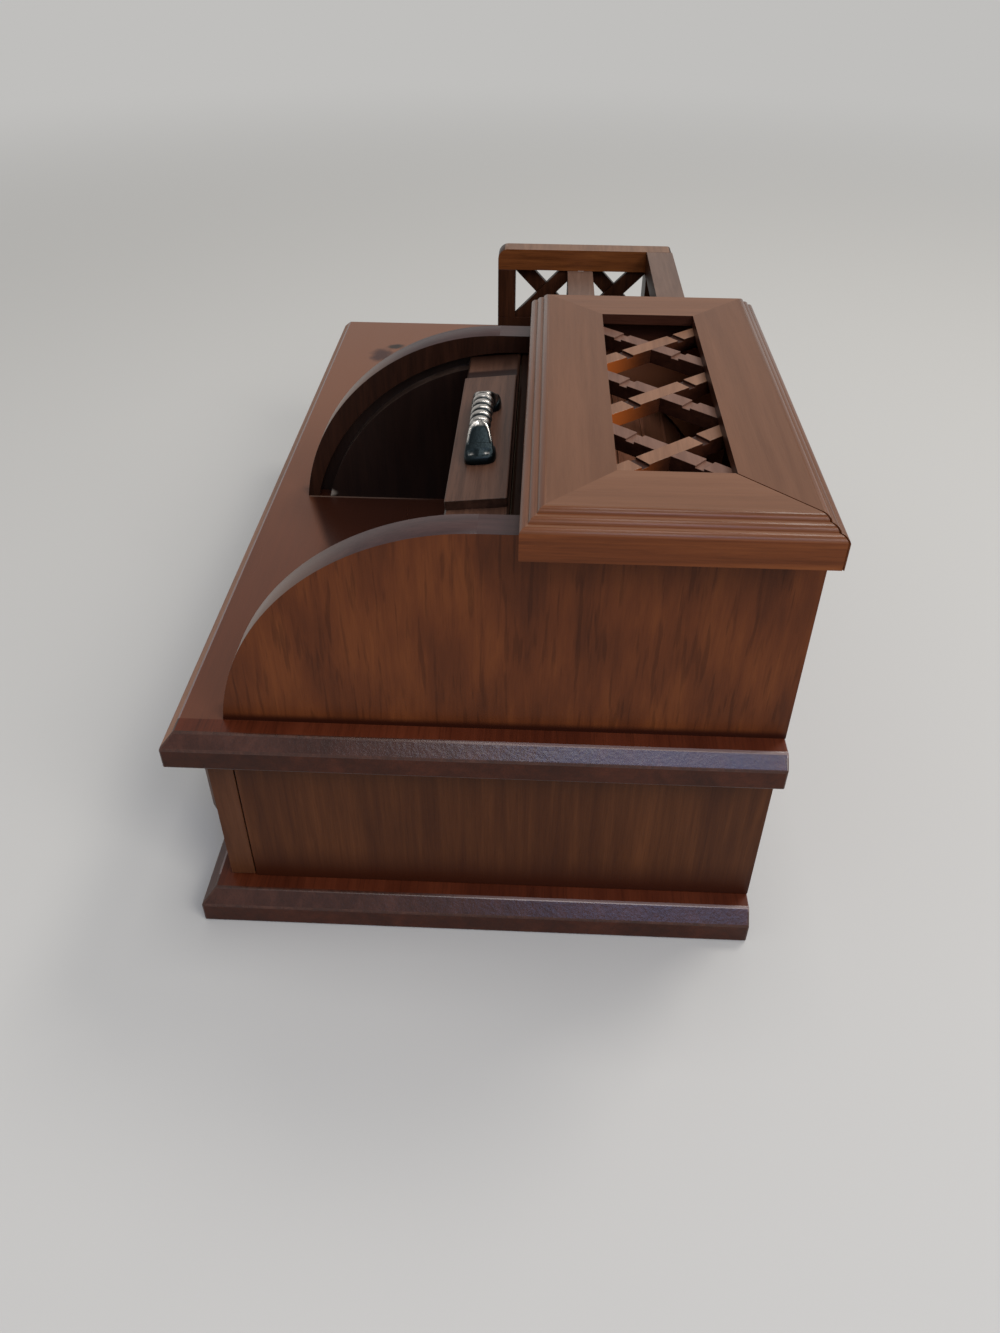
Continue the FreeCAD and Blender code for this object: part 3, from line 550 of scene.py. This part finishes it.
dress_rails(FRAME_X, "x", 0.45, (srgb(90, 58, 40), srgb(98, 65, 46), srgb(107, 72, 52)),
            (srgb(80, 48, 32), srgb(94, 59, 41), srgb(108, 70, 51)))
dress_rails(FRAME_Y, "y", 0.2, (srgb(100, 67, 48), srgb(109, 74, 54), srgb(117, 82, 61)),
            (srgb(84, 47, 26), srgb(98, 57, 34), srgb(112, 68, 43)))

# ---------------------------------------------------------------- lattice in the frame

# The strips that run to the back on the left are paler. Painted shade darkens the strips'
# sides and the paler strips' notch floors, and a painted orange glow of light lies on the
# paler strips' sides near the front rail.
NOTCH_HALF_DEPTH = 0.3 * MM
GLOW_FULL = 2 * MM
GLOW_END = 17 * MM
pale_strip = wood("pale_strip_wood", "x", srgb(106, 73, 54), srgb(120, 85, 64),
                  srgb(132, 96, 74), pores=0.1, specular=0.25, seed=2.9)
grey_strip = wood("grey_strip_wood", "x", srgb(88, 60, 48), srgb(104, 74, 61),
                  srgb(116, 86, 72), pores=0.1, specular=0.25, seed=4.9)
strip_side = wood("strip_side_wood", "x", srgb(34, 16, 10), srgb(46, 24, 16), srgb(60, 33, 22),
                  seed=5.2)
side_glow = wood("side_glow_wood", "x", srgb(44, 22, 14), srgb(58, 30, 18), srgb(72, 38, 23),
                seed=5.6)
side_glow.recolour(side_glow.before("Y", lattice_low.y + GLOW_FULL, lattice_low.y + GLOW_END),
                  srgb(172, 88, 36))


def strip_top(normal, centre):
    """A strip's top, without the floors of its notches."""
    return up(normal, centre) and centre.z > lattice_high.z - NOTCH_HALF_DEPTH


def strip_notch(normal, centre):
    """A shallow notch's floor and its two walls across the strip."""
    notch_floor = up(normal, centre) and not strip_top(normal, centre)
    notch_wall = normal.z < LEANS and normal.x * normal.y > LEANS
    return centre.z > lattice_high.z - 3 * NOTCH_HALF_DEPTH and (notch_floor or notch_wall)


def glow_face(normal, centre):
    """A strip's side that looks to the right and to the back."""
    return upright(normal) and normal.x > LEANS and normal.y > LEANS


dress(strip_side, "top_lattice_rising", "top_lattice_falling")
dress_faces(grey_strip, ["top_lattice_rising"],
            lambda normal, centre: up(normal, centre) or strip_notch(normal, centre))
dress_faces(pale_strip, ["top_lattice_falling"], strip_top)
dress_faces(side_glow, ["top_lattice_falling"], glow_face)

# ---------------------------------------------------------------- tambour

SLATS = sorted(name for name in NODES if name.startswith("tambour_slat_"))
SLAT_STREAK = (0.05, 0.002)

# A greyish lead board on a slat of the same wood, with darker edges.
LEAD_SHADES = (srgb(58, 38, 29), srgb(74, 50, 39), srgb(88, 62, 49))
lead_wood = wood("lead_wood", "x", *LEAD_SHADES, streak=SLAT_STREAK, specular=0.18, seed=3.9)
lead_slat = wood("lead_slat_wood", "x", *LEAD_SHADES, streak=SLAT_STREAK, specular=0.18,
                 seed=3.4)
slat_wood = wood("slat_wood", "x", srgb(36, 21, 14), srgb(50, 31, 22), srgb(66, 43, 32),
                 streak=SLAT_STREAK, specular=0.3, seed=6.1)

# A painted shadow of the board lies on the lead slat along the board's far end, and painted
# shade darkens the slat near the side.
BOARD_SHADOW_START = board_end - 11.5 * MM
BOARD_SHADOW_FULL = board_end - 9.5 * MM
SIDE_SHADE_WIDTH = 13 * MM
board_shadow = lead_slat.product(lead_slat.past("X", BOARD_SHADOW_START, BOARD_SHADOW_FULL),
                           lead_slat.below("X", board_end + MM))
lead_slat.recolour(board_shadow, srgb(30, 12, 8))
lead_slat.recolour(lead_slat.before("X", cavity_low, cavity_low + SIDE_SHADE_WIDTH),
                   srgb(26, 12, 7), share=0.85)

dress(lead_wood, "tambour_lead_board")
dress(lead_slat, "tambour_lead_slat")
dress_faces(slat_wood, ["tambour_lead_slat", "tambour_lead_board"],
            lambda normal, centre: normal.z < SQUARE)


def slat_front(normal, centre):
    """A narrow slat's face that looks out of the cabinet."""
    return from_axis(centre) > SLAT_OUTER


# The first narrow slat lies in the shade between lead slat and frame; it is dull, and its
# darkness is painted shade.
shaded_slat = wood("shaded_slat_wood", "x", srgb(26, 14, 9), srgb(36, 20, 13), srgb(46, 28, 19),
                 streak=SLAT_STREAK, rough=0.5, specular=0.06, seed=6.3)
# The other slats' outer faces are paler: painted light, for the light through the lattice.
lit_slat_face = wood("lit_slat_face_wood", "x", srgb(100, 62, 44), srgb(120, 77, 56), srgb(136, 90, 67),
                 streak=SLAT_STREAK, specular=0.3, seed=6.6)
dress(slat_wood, *SLATS)
dress_faces(shaded_slat, SLATS[:1], slat_front)
dress_faces(lit_slat_face, SLATS[1:], slat_front)

canvas = Graph("canvas_cloth")
canvas.surface(Base_Color=srgb(96, 84, 66), Roughness=0.9)
dress(canvas, "tambour_canvas")

# ---------------------------------------------------------------- letter rack

# Dark inside and out, with tops made paler by painted sheen.
RACK = [name for name in NODES if name.startswith("rack_")]
RACK_SHADES = (srgb(34, 17, 9), srgb(48, 25, 13), srgb(62, 34, 19))
rack_wood = wood("rack_wood", "z", *RACK_SHADES, seed=7.3)
rail_wood = wood("rack_rail_wood", "y", srgb(78, 41, 18), srgb(100, 56, 27), srgb(116, 68, 34),
                 seed=6.9)
rack_top = wood("rack_top_wood", "x", srgb(98, 71, 54), srgb(112, 82, 63), srgb(124, 94, 74),
                specular=0.24, pores=0.1, seed=6.4)
grey_top = wood("rack_grey_top_wood", "x", srgb(84, 64, 54), srgb(96, 74, 63), srgb(108, 85, 73),
                specular=0.24, pores=0.1, seed=6.2)
dress(rack_wood, *RACK)
dress_faces(rail_wood, ["rack_end_top_rail"], lambda normal, centre: normal.x > MOSTLY)
dress_faces(rack_top, ["rack_end_top_rail"], up)
dress_faces(grey_top, ["rack_divider_top_rail", "rack_back_top_rail"], up)

# ---------------------------------------------------------------- eased edges

# Corners closer than the first are joined, so that edges which turn by more than the second
# can be eased.
WELD_DISTANCE = 0.01 * MM
SHARP_ANGLE = math.radians(28)


def soften(width, *names, edge=None, segments=2):
    """Ease the sharp edges of CAD nodes, which may show a material of their own."""
    for name in names:
        weld = NODES[name].modifiers.new("weld", "WELD")
        weld.merge_threshold = WELD_DISTANCE
        bevel = NODES[name].modifiers.new("bevel", "BEVEL")
        bevel.width = width
        bevel.segments = segments
        bevel.limit_method = "ANGLE"
        bevel.angle_limit = SHARP_ANGLE
        bevel.use_clamp_overlap = True
        if edge:
            NODES[name].data.materials.append(edge.material)
            bevel.material = len(NODES[name].data.materials) - 1


soften(0.35 * MM, *CABINET_SIDES, "cabinet_back", "case_side_left", "case_side_right",
       "case_back", "drawer_front_board", "tambour_lead_board")
soften(0.2 * MM, *FRAME_X, *FRAME_Y, "cabinet_guard_rail", *RACK)
soften(0.12 * MM, "top_lattice_rising", "top_lattice_falling", "tambour_lead_slat")
soften(0.5 * MM, *BASE_BOARDS, edge=arris_glint_wood, segments=3)

# ---------------------------------------------------------------- cast metal

# Dark metal, rubbed bright in patches where a pull's wear is high.
PATCH_SCALE = (900, 900, 900)
PATCH_LEVELS = (0.25, 0.5)
CAST_SCALE = (1100, 1100, 1100)
pewter = Graph("antique_pewter")
wear = pewter.add("Attribute", attribute_name="wear").outputs["Fac"]
rubbed = pewter.product(wear, pewter.step(pewter.noise(pewter.place(PATCH_SCALE)),
                                          *PATCH_LEVELS))
pewter.surface(Base_Color=pewter.mix(rubbed, srgb(32, 39, 42), srgb(202, 197, 192)),
               Metallic=1.0, Roughness=pewter.ramp(rubbed, [(0, grey(0.42)), (1, grey(0.2))]),
               Normal=pewter.bump(pewter.noise(pewter.place(CAST_SCALE)), strength=0.35,
                                  depth=0.3 * MM))
dress(pewter, "tambour_pull", "drawer_pull_left", "drawer_pull_right",
      "tambour_pull_screws", "drawer_pull_screws")

# ---------------------------------------------------------------- cast pulls

# A pull's measures, in millimetres: the grip runs along X at a height above the face that
# the feet stand on. It is wider than high by the barrel's share, which tapers to its ends.
GRIP_HALF = 9.0
GRIP_HEIGHT = 5.5
GRIP_CORE = 1.9
GRIP_BARREL = 0.22
GRIP_TAPER = 0.75
RING_SPACING = 3.6
RING_COUNT = 5
RING_WIDTH = 2.4
RING_RISE = 0.6
# A leg runs from the grip to its toe, and what lies along it is given in parts of its length.
LEG_START = 7.9
LEG_END = 19.6
LEG_HALF_WIDTH = 2.7
LEG_WIDENING = 1.25
LEG_WIDEST = 0.85
LEG_TOP = 7.9
LEG_FALL = 5.3
LEG_FALL_SPAN = (0.02, 1.15)
LEG_UNDERSIDE = 3.4
LEG_UNDERSIDE_FALL = 6.5
# The leg's ends are rounded by a high power of the way from its middle, down to a small
# rest that keeps the ring open, and they are thinner by up to a share.
END_POWER = 8
END_REST = 0.002
END_THINNING = 0.45
# Powers below 1 turn a ring's circle towards a box, across the leg and in height.
BOXY_ACROSS = 0.8
BOXY_HEIGHT = 0.5
# The dish in the leg's top, inside a raised rim.
RIM = 0.55
DISH_START = 0.13
DISH_FULL = 0.42
DISH_END = 0.66
DISH_DEPTH = 0.7
DISH_WALL = 0.35
# Two scallops in the toe: their place, edge and floor are shares of its half width.
TOE_START = 0.8
SCALLOP_DEPTH = 0.35
SCALLOP_PLACE = 0.45
SCALLOP_EDGE = 0.5
SCALLOP_FLOOR = 0.1
# The block that a leg ends in: its rings' heights, and how far each lies inside its outline.
BASE_HALF_WIDTH = 4.25
BASE_HALF_LENGTH = 4.1
BASE_CENTRE = 15.75
BASE_HEIGHT = 2.4
BASE_POWER = 3.2
BASE_PROFILE = ((0, 0.25), (0.3, 0), (BASE_HEIGHT - 0.5, 0.1), (BASE_HEIGHT - 0.1, 0.4),
                (BASE_HEIGHT, 0.9))
# How finely the pieces are divided: corners round a ring, and rings along a piece.
SIDES = 64
GRIP_STATIONS = 97
LEG_STATIONS = 81


def smooth(low, high, x):
    """0 at low, 1 at high and a smooth step between them; low may be the greater."""
    part = min(max((x - low) / (high - low), 0), 1)
    return part * part * (3 - 2 * part)


def spaced(count):
    """Even steps from 0 to 1."""
    return [i / (count - 1) for i in range(count)]


def directions():
    """The sine and cosine of each corner's angle round a ring."""
    for corner in range(SIDES):
        angle = 2 * math.pi * corner / SIDES
        yield math.sin(angle), math.cos(angle)


def skin(rings):
    """Points and faces of a closed tube through equal rings of points."""
    points = [point for ring in rings for point in ring]
    count = len(rings[0])
    faces = []
    for i in range(len(rings) - 1):
        for j in range(count):
            follower = (j + 1) % count
            faces.append((i * count + j, i * count + follower,
                          (i + 1) * count + follower, (i + 1) * count + j))
    last = (len(rings) - 1) * count
    faces.append(tuple(range(count - 1, -1, -1)))
    faces.append(tuple(range(last, last + count)))
    return points, faces


def grip_width(x):
    """The grip's width as a multiple of its height, at a place along it."""
    return 1 + GRIP_BARREL * math.sqrt(1 - (GRIP_TAPER * x / GRIP_HALF) ** 2)


def grip_rings():
    """The round grip with its raised rings."""
    rings = []
    for part in spaced(GRIP_STATIONS):
        x = GRIP_HALF * (2 * part - 1)
        number = x / RING_SPACING + (RING_COUNT - 1) / 2
        off = abs(number - round(number)) * RING_SPACING / (RING_WIDTH / 2)
        swell = math.sqrt(max(1 - off * off, 0)) if abs(x) < GRIP_HALF else 0
        radius = GRIP_CORE + RING_RISE * swell
        rings.append([(x, grip_width(x) * radius * across, GRIP_HEIGHT + radius * rise)
                      for across, rise in directions()])
    return rings


def leg_half_width(part):
    """Half the leg's width, which grows from the grip to near the toe."""
    return LEG_HALF_WIDTH + LEG_WIDENING * smooth(0, LEG_WIDEST, part)


def dish_half_width(part):
    """Half the width of the leg's dish, which begins as an arch next to the grip."""
    if not DISH_START < part < DISH_END:
        return 0
    reach = max((DISH_FULL - part) / (DISH_FULL - DISH_START), 0)
    arch = math.sqrt(1 - reach * reach)
    return (leg_half_width(part) - RIM) * arch


def hollow(part, y, half_width):
    """How far the leg's top is sunk at a point, by its dish or by a scallop in its toe."""
    dish = dish_half_width(part)
    if dish:
        return DISH_DEPTH * smooth(0, DISH_WALL, dish - abs(y))
    if part >= TOE_START:
        off = abs(abs(y) - half_width * SCALLOP_PLACE) / half_width
        return SCALLOP_DEPTH * smooth(SCALLOP_EDGE, SCALLOP_FLOOR, off)
    return 0


def leg_rings(side):
    """A spoon-shaped leg: it starts at the grip, widens and slopes to the base."""
    rings = []
    for part in spaced(LEG_STATIONS):
        x = LEG_START + (LEG_END - LEG_START) * part
        round_end = math.sqrt(max(1 - ((part - 0.5) * 2) ** END_POWER, END_REST))
        half_width = leg_half_width(part) * round_end
        fallen = smooth(*LEG_FALL_SPAN, part) / smooth(*LEG_FALL_SPAN, 1)
        top = LEG_TOP - LEG_FALL * fallen
        low = max(LEG_UNDERSIDE - LEG_UNDERSIDE_FALL * part, 0)
        half_height = (top - low) / 2 * (1 - END_THINNING * (1 - round_end))
        ring = []
        for across, rise in directions():
            y = half_width * math.copysign(abs(across) ** BOXY_ACROSS, across)
            z = (top + low) / 2 + half_height * math.copysign(abs(rise) ** BOXY_HEIGHT, rise)
            if rise > 0:
                z -= hollow(part, y, half_width)
            ring.append((side * x, y, z))
        rings.append(ring if side > 0 else ring[::-1])
    return rings


def base_rings(side):
    """A low block with rounded corners that the leg ends in."""
    rings = []
    for height, inset in BASE_PROFILE:
        ring = []
        for across, out in directions():
            reach = (abs(across) ** BASE_POWER + abs(out) ** BASE_POWER) ** (-1 / BASE_POWER)
            ring.append((side * BASE_CENTRE + (BASE_HALF_LENGTH - inset) * out * reach,
                         (BASE_HALF_WIDTH - inset) * across * reach, height))
        rings.append(ring)
    return rings


# Where a pull is rubbed bright: on the grip's rings, outside its core and towards its top;
# on the rim round the dish, which dulls along the leg; at the dish's arch, less towards the
# leg's sides; and on two lobes at the toe. Each pair says where brightness is none and full.
RINGS_WORN = (0.2, 0.55)
GRIP_TOP_WORN = (-1.5, 1.5)
RIM_WORN = (0.55, 0.15)
RIM_DULLS = (DISH_END, 0.4)
ARCH_WORN = (DISH_START + 0.1, DISH_START)
ARCH_ENDS = (2.6, 1.6)
LOBE_PLACE = 2.1
LOBE_WORN = (0.9, 0.1)
LOBE_SPAN = (0.84, 0.92)
LOBE_SHARE = 0.6
BASE_DULL = BASE_HEIGHT + 0.1


def worn(point):
    """How far a point of a pull has been rubbed bright, from 0 to 1."""
    x, y, z = point
    if abs(x) < GRIP_HALF:
        above = z - GRIP_HEIGHT
        outside = math.hypot(y / grip_width(x), above) - GRIP_CORE
        return smooth(*RINGS_WORN, outside) * smooth(*GRIP_TOP_WORN, above)
    if z < BASE_DULL:
        return 0
    part = (abs(x) - LEG_START) / (LEG_END - LEG_START)
    off_rim = abs(abs(y) - dish_half_width(part) - RIM / 2)
    rim = smooth(*RIM_WORN, off_rim) * smooth(*RIM_DULLS, part)
    arch = smooth(*ARCH_WORN, part) * smooth(*ARCH_ENDS, abs(y))
    lobes = smooth(*LOBE_WORN, abs(abs(y) - LOBE_PLACE)) * smooth(*LOBE_SPAN, part)
    return max(rim, arch, LOBE_SHARE * lobes)


def face_outwards(mesh):
    """Turn every shell's faces outwards and shade the curved ones smoothly."""
    shells = bmesh.new()
    shells.from_mesh(mesh)
    bmesh.ops.recalc_face_normals(shells, faces=shells.faces)
    for face in shells.faces:
        face.smooth = len(face.verts) == 4
    shells.to_mesh(mesh)
    shells.free()


def cast_pull(name, node, foot, tilt):
    """A pull's pieces in one mesh, stood on a point and turned about X."""
    points, faces = [], []
    tubes = [grip_rings()]
    for side in (-1, 1):
        tubes += [leg_rings(side), base_rings(side)]
    for rings in tubes:
        more, shells = skin(rings)
        shift = len(points)
        points += more
        faces += [tuple(corner + shift for corner in face) for face in shells]
    mesh = bpy.data.meshes.new(name)
    mesh.from_pydata([Vector(point) * MM for point in points], [], faces)
    mesh.materials.append(pewter.material)
    attribute = mesh.attributes.new("wear", "FLOAT", "POINT")
    for entry, point in zip(attribute.data, points):
        entry.value = worn(point)
    face_outwards(mesh)
    made = bpy.data.objects.new(name, mesh)
    bpy.context.collection.objects.link(made)
    made.matrix_world = Matrix.Translation(foot) @ Matrix.Rotation(tilt, 4, "X")
    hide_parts(node)
    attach(made, "tambour" if node == "tambour_pull" else "drawer")


def top_face(node):
    """The centre and normal of a board's face that looks most upwards."""
    face = max(NODES[node].data.polygons, key=lambda polygon: polygon.normal.z)
    return face.center.copy(), face.normal.copy()


# The curtain's pull stands on the raised board, where that is nearest to the axis.
board_point, board_normal = top_face("tambour_lead_board")
pull_low, pull_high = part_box("tambour_pull")
board_foot = track_axis + board_normal * (board_point - track_axis).dot(board_normal)
board_foot.x = (pull_low.x + pull_high.x) / 2
cast_pull("tambour_cast_pull", "tambour_pull", board_foot,
          math.atan2(-board_normal.y, board_normal.z))

# The drawer's pulls stand on its raised panel.
for side in ("left", "right"):
    pull_low, pull_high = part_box("drawer_pull_" + side)
    panel_foot = (pull_low + pull_high) / 2
    panel_foot.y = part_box("drawer_raised_panel")[0].y
    cast_pull("drawer_cast_pull_" + side, "drawer_pull_" + side, panel_foot, math.radians(90))

# ---------------------------------------------------------------- floor and backdrop

BACKDROP = srgb(192, 191, 189)
FLOOR_SIZE = 12.0
FLOOR_LEVEL = -0.2 * MM
# The floor turns into the backdrop between these distances from its middle, in metres.
FLOOR_FADE = (0.4, 1.3)


def stage_plane(name, size, height):
    """A square floor that isn't part of the object."""
    half = size / 2
    mesh = bpy.data.meshes.new(name)
    mesh.from_pydata([(-half, -half, height), (half, -half, height), (half, half, height),
                      (-half, half, height)], [], [(0, 1, 2, 3)])
    plane = bpy.data.objects.new(name, mesh)
    bpy.context.collection.objects.link(plane)
    return plane


def seen_directly(tree):
    """1 for rays from the camera and for those that gloss or glass would pass on from it."""
    path = tree.nodes.new("ShaderNodeLightPath")
    seen = path.outputs["Is Camera Ray"]
    for kind in ("Is Glossy Ray", "Is Transmission Ray"):
        either = tree.nodes.new("ShaderNodeMath")
        either.operation = "MAXIMUM"
        tree.links.new(seen, either.inputs[0])
        tree.links.new(path.outputs[kind], either.inputs[1])
        seen = either.outputs[0]
    return seen


cloth = Graph("floor_cloth")
cloth.surface(Base_Color=srgb(187, 187, 185), Roughness=0.9, Specular_IOR_Level=0.1)
from_middle = cloth.add("VectorMath", {0: cloth.add("TexCoord").outputs["Object"]},
                        operation="LENGTH").outputs["Value"]
plain = cloth.add("Emission", {"Color": BACKDROP}).outputs[0]
fade = cloth.product(cloth.step(from_middle, *FLOOR_FADE), seen_directly(cloth.tree))
blend = cloth.add("MixShader", {0: fade, 1: cloth.shader.outputs[0], 2: plain}).outputs[0]
cloth.put(cloth.tree.nodes["Material Output"].inputs["Surface"], blend)
floor = stage_plane("floor", FLOOR_SIZE, FLOOR_LEVEL)
floor.data.materials.append(cloth.material)

# The room's soft light, which the camera sees as the plain backdrop.
world = bpy.data.worlds.new("soft_room")
bpy.context.scene.world = world
world.use_nodes = True
sky = world.node_tree.nodes["Background"]
sky.inputs["Color"].default_value = (1.0, 0.985, 0.965, 1)
sky.inputs["Strength"].default_value = 0.4
backdrop = world.node_tree.nodes.new("ShaderNodeBackground")
backdrop.inputs["Color"].default_value = BACKDROP
both = world.node_tree.nodes.new("ShaderNodeMixShader")
for source, entry in ((seen_directly(world.node_tree), 0), (sky.outputs[0], 1),
                      (backdrop.outputs[0], 2)):
    world.node_tree.links.new(source, both.inputs[entry])
world.node_tree.links.new(both.outputs[0], world.node_tree.nodes["World Output"].inputs[0])

# ---------------------------------------------------------------- lamps

OBJECT_MIDDLE = (0, 0, 0.06)
WARM_WHITE = (1.0, 0.96, 0.9)


def area_light(name, place, size, power, colour, aim=OBJECT_MIDDLE):
    """A soft square lamp aimed at a point."""
    data = bpy.data.lights.new(name, "AREA")
    data.size = size
    data.energy = power
    data.color = colour
    lamp = bpy.data.objects.new(name, data)
    lamp.location = place
    lamp.rotation_mode = "QUATERNION"
    lamp.rotation_quaternion = (Vector(aim) - Vector(place)).to_track_quat("-Z", "Y")
    bpy.context.collection.objects.link(lamp)


area_light("key", (1.0, 0.95, 1.15), 0.7, 11, WARM_WHITE)
area_light("room", (0.95, 0.1, 1.35), 0.5, 4, WARM_WHITE)
area_light("overhead", (0.0, 0.1, 1.5), 0.5, 5, (1.0, 0.98, 0.95))
area_light("back", (-0.4, 0.6, 1.2), 0.35, 5, (1.0, 0.95, 0.88))
area_light("window", (1.05, 0.25, 1.0), 0.45, 2.6, (0.3, 0.46, 1.0), aim=(0.1, 0.05, 0.06))

# ---------------------------------------------------------------- camera

# It comes from a perspective fit to the photograph's board edges. Angles are in radians, and
# the lens and its sensor in millimetres.
CAMERA_PLACE = Vector((344.02, 14.97, 257.92)) * MM
CAMERA_YAW = 0.039
CAMERA_PITCH = 0.678
CAMERA_ROLL = 0.008
CAMERA_LENS = 27.58
CAMERA_SENSOR = 36

camera_ahead = Vector((-math.cos(CAMERA_YAW) * math.cos(CAMERA_PITCH),
                       -math.sin(CAMERA_YAW) * math.cos(CAMERA_PITCH),
                       -math.sin(CAMERA_PITCH)))
level_right = camera_ahead.cross(Vector((0, 0, 1))).normalized()
level_up = level_right.cross(camera_ahead)
camera_right = math.cos(CAMERA_ROLL) * level_right + math.sin(CAMERA_ROLL) * level_up
camera_up = -math.sin(CAMERA_ROLL) * level_right + math.cos(CAMERA_ROLL) * level_up

camera_data = bpy.data.cameras.new("camera")
camera_data.lens = CAMERA_LENS
camera_data.sensor_width = CAMERA_SENSOR
camera_data.sensor_fit = "AUTO"
camera = bpy.data.objects.new("camera", camera_data)
camera_turn = Matrix((camera_right, camera_up, -camera_ahead)).transposed()
camera.matrix_world = Matrix.Translation(CAMERA_PLACE) @ camera_turn.to_4x4()
bpy.context.collection.objects.link(camera)
bpy.context.scene.camera = camera
bpy.context.scene.view_settings.view_transform = "Standard"
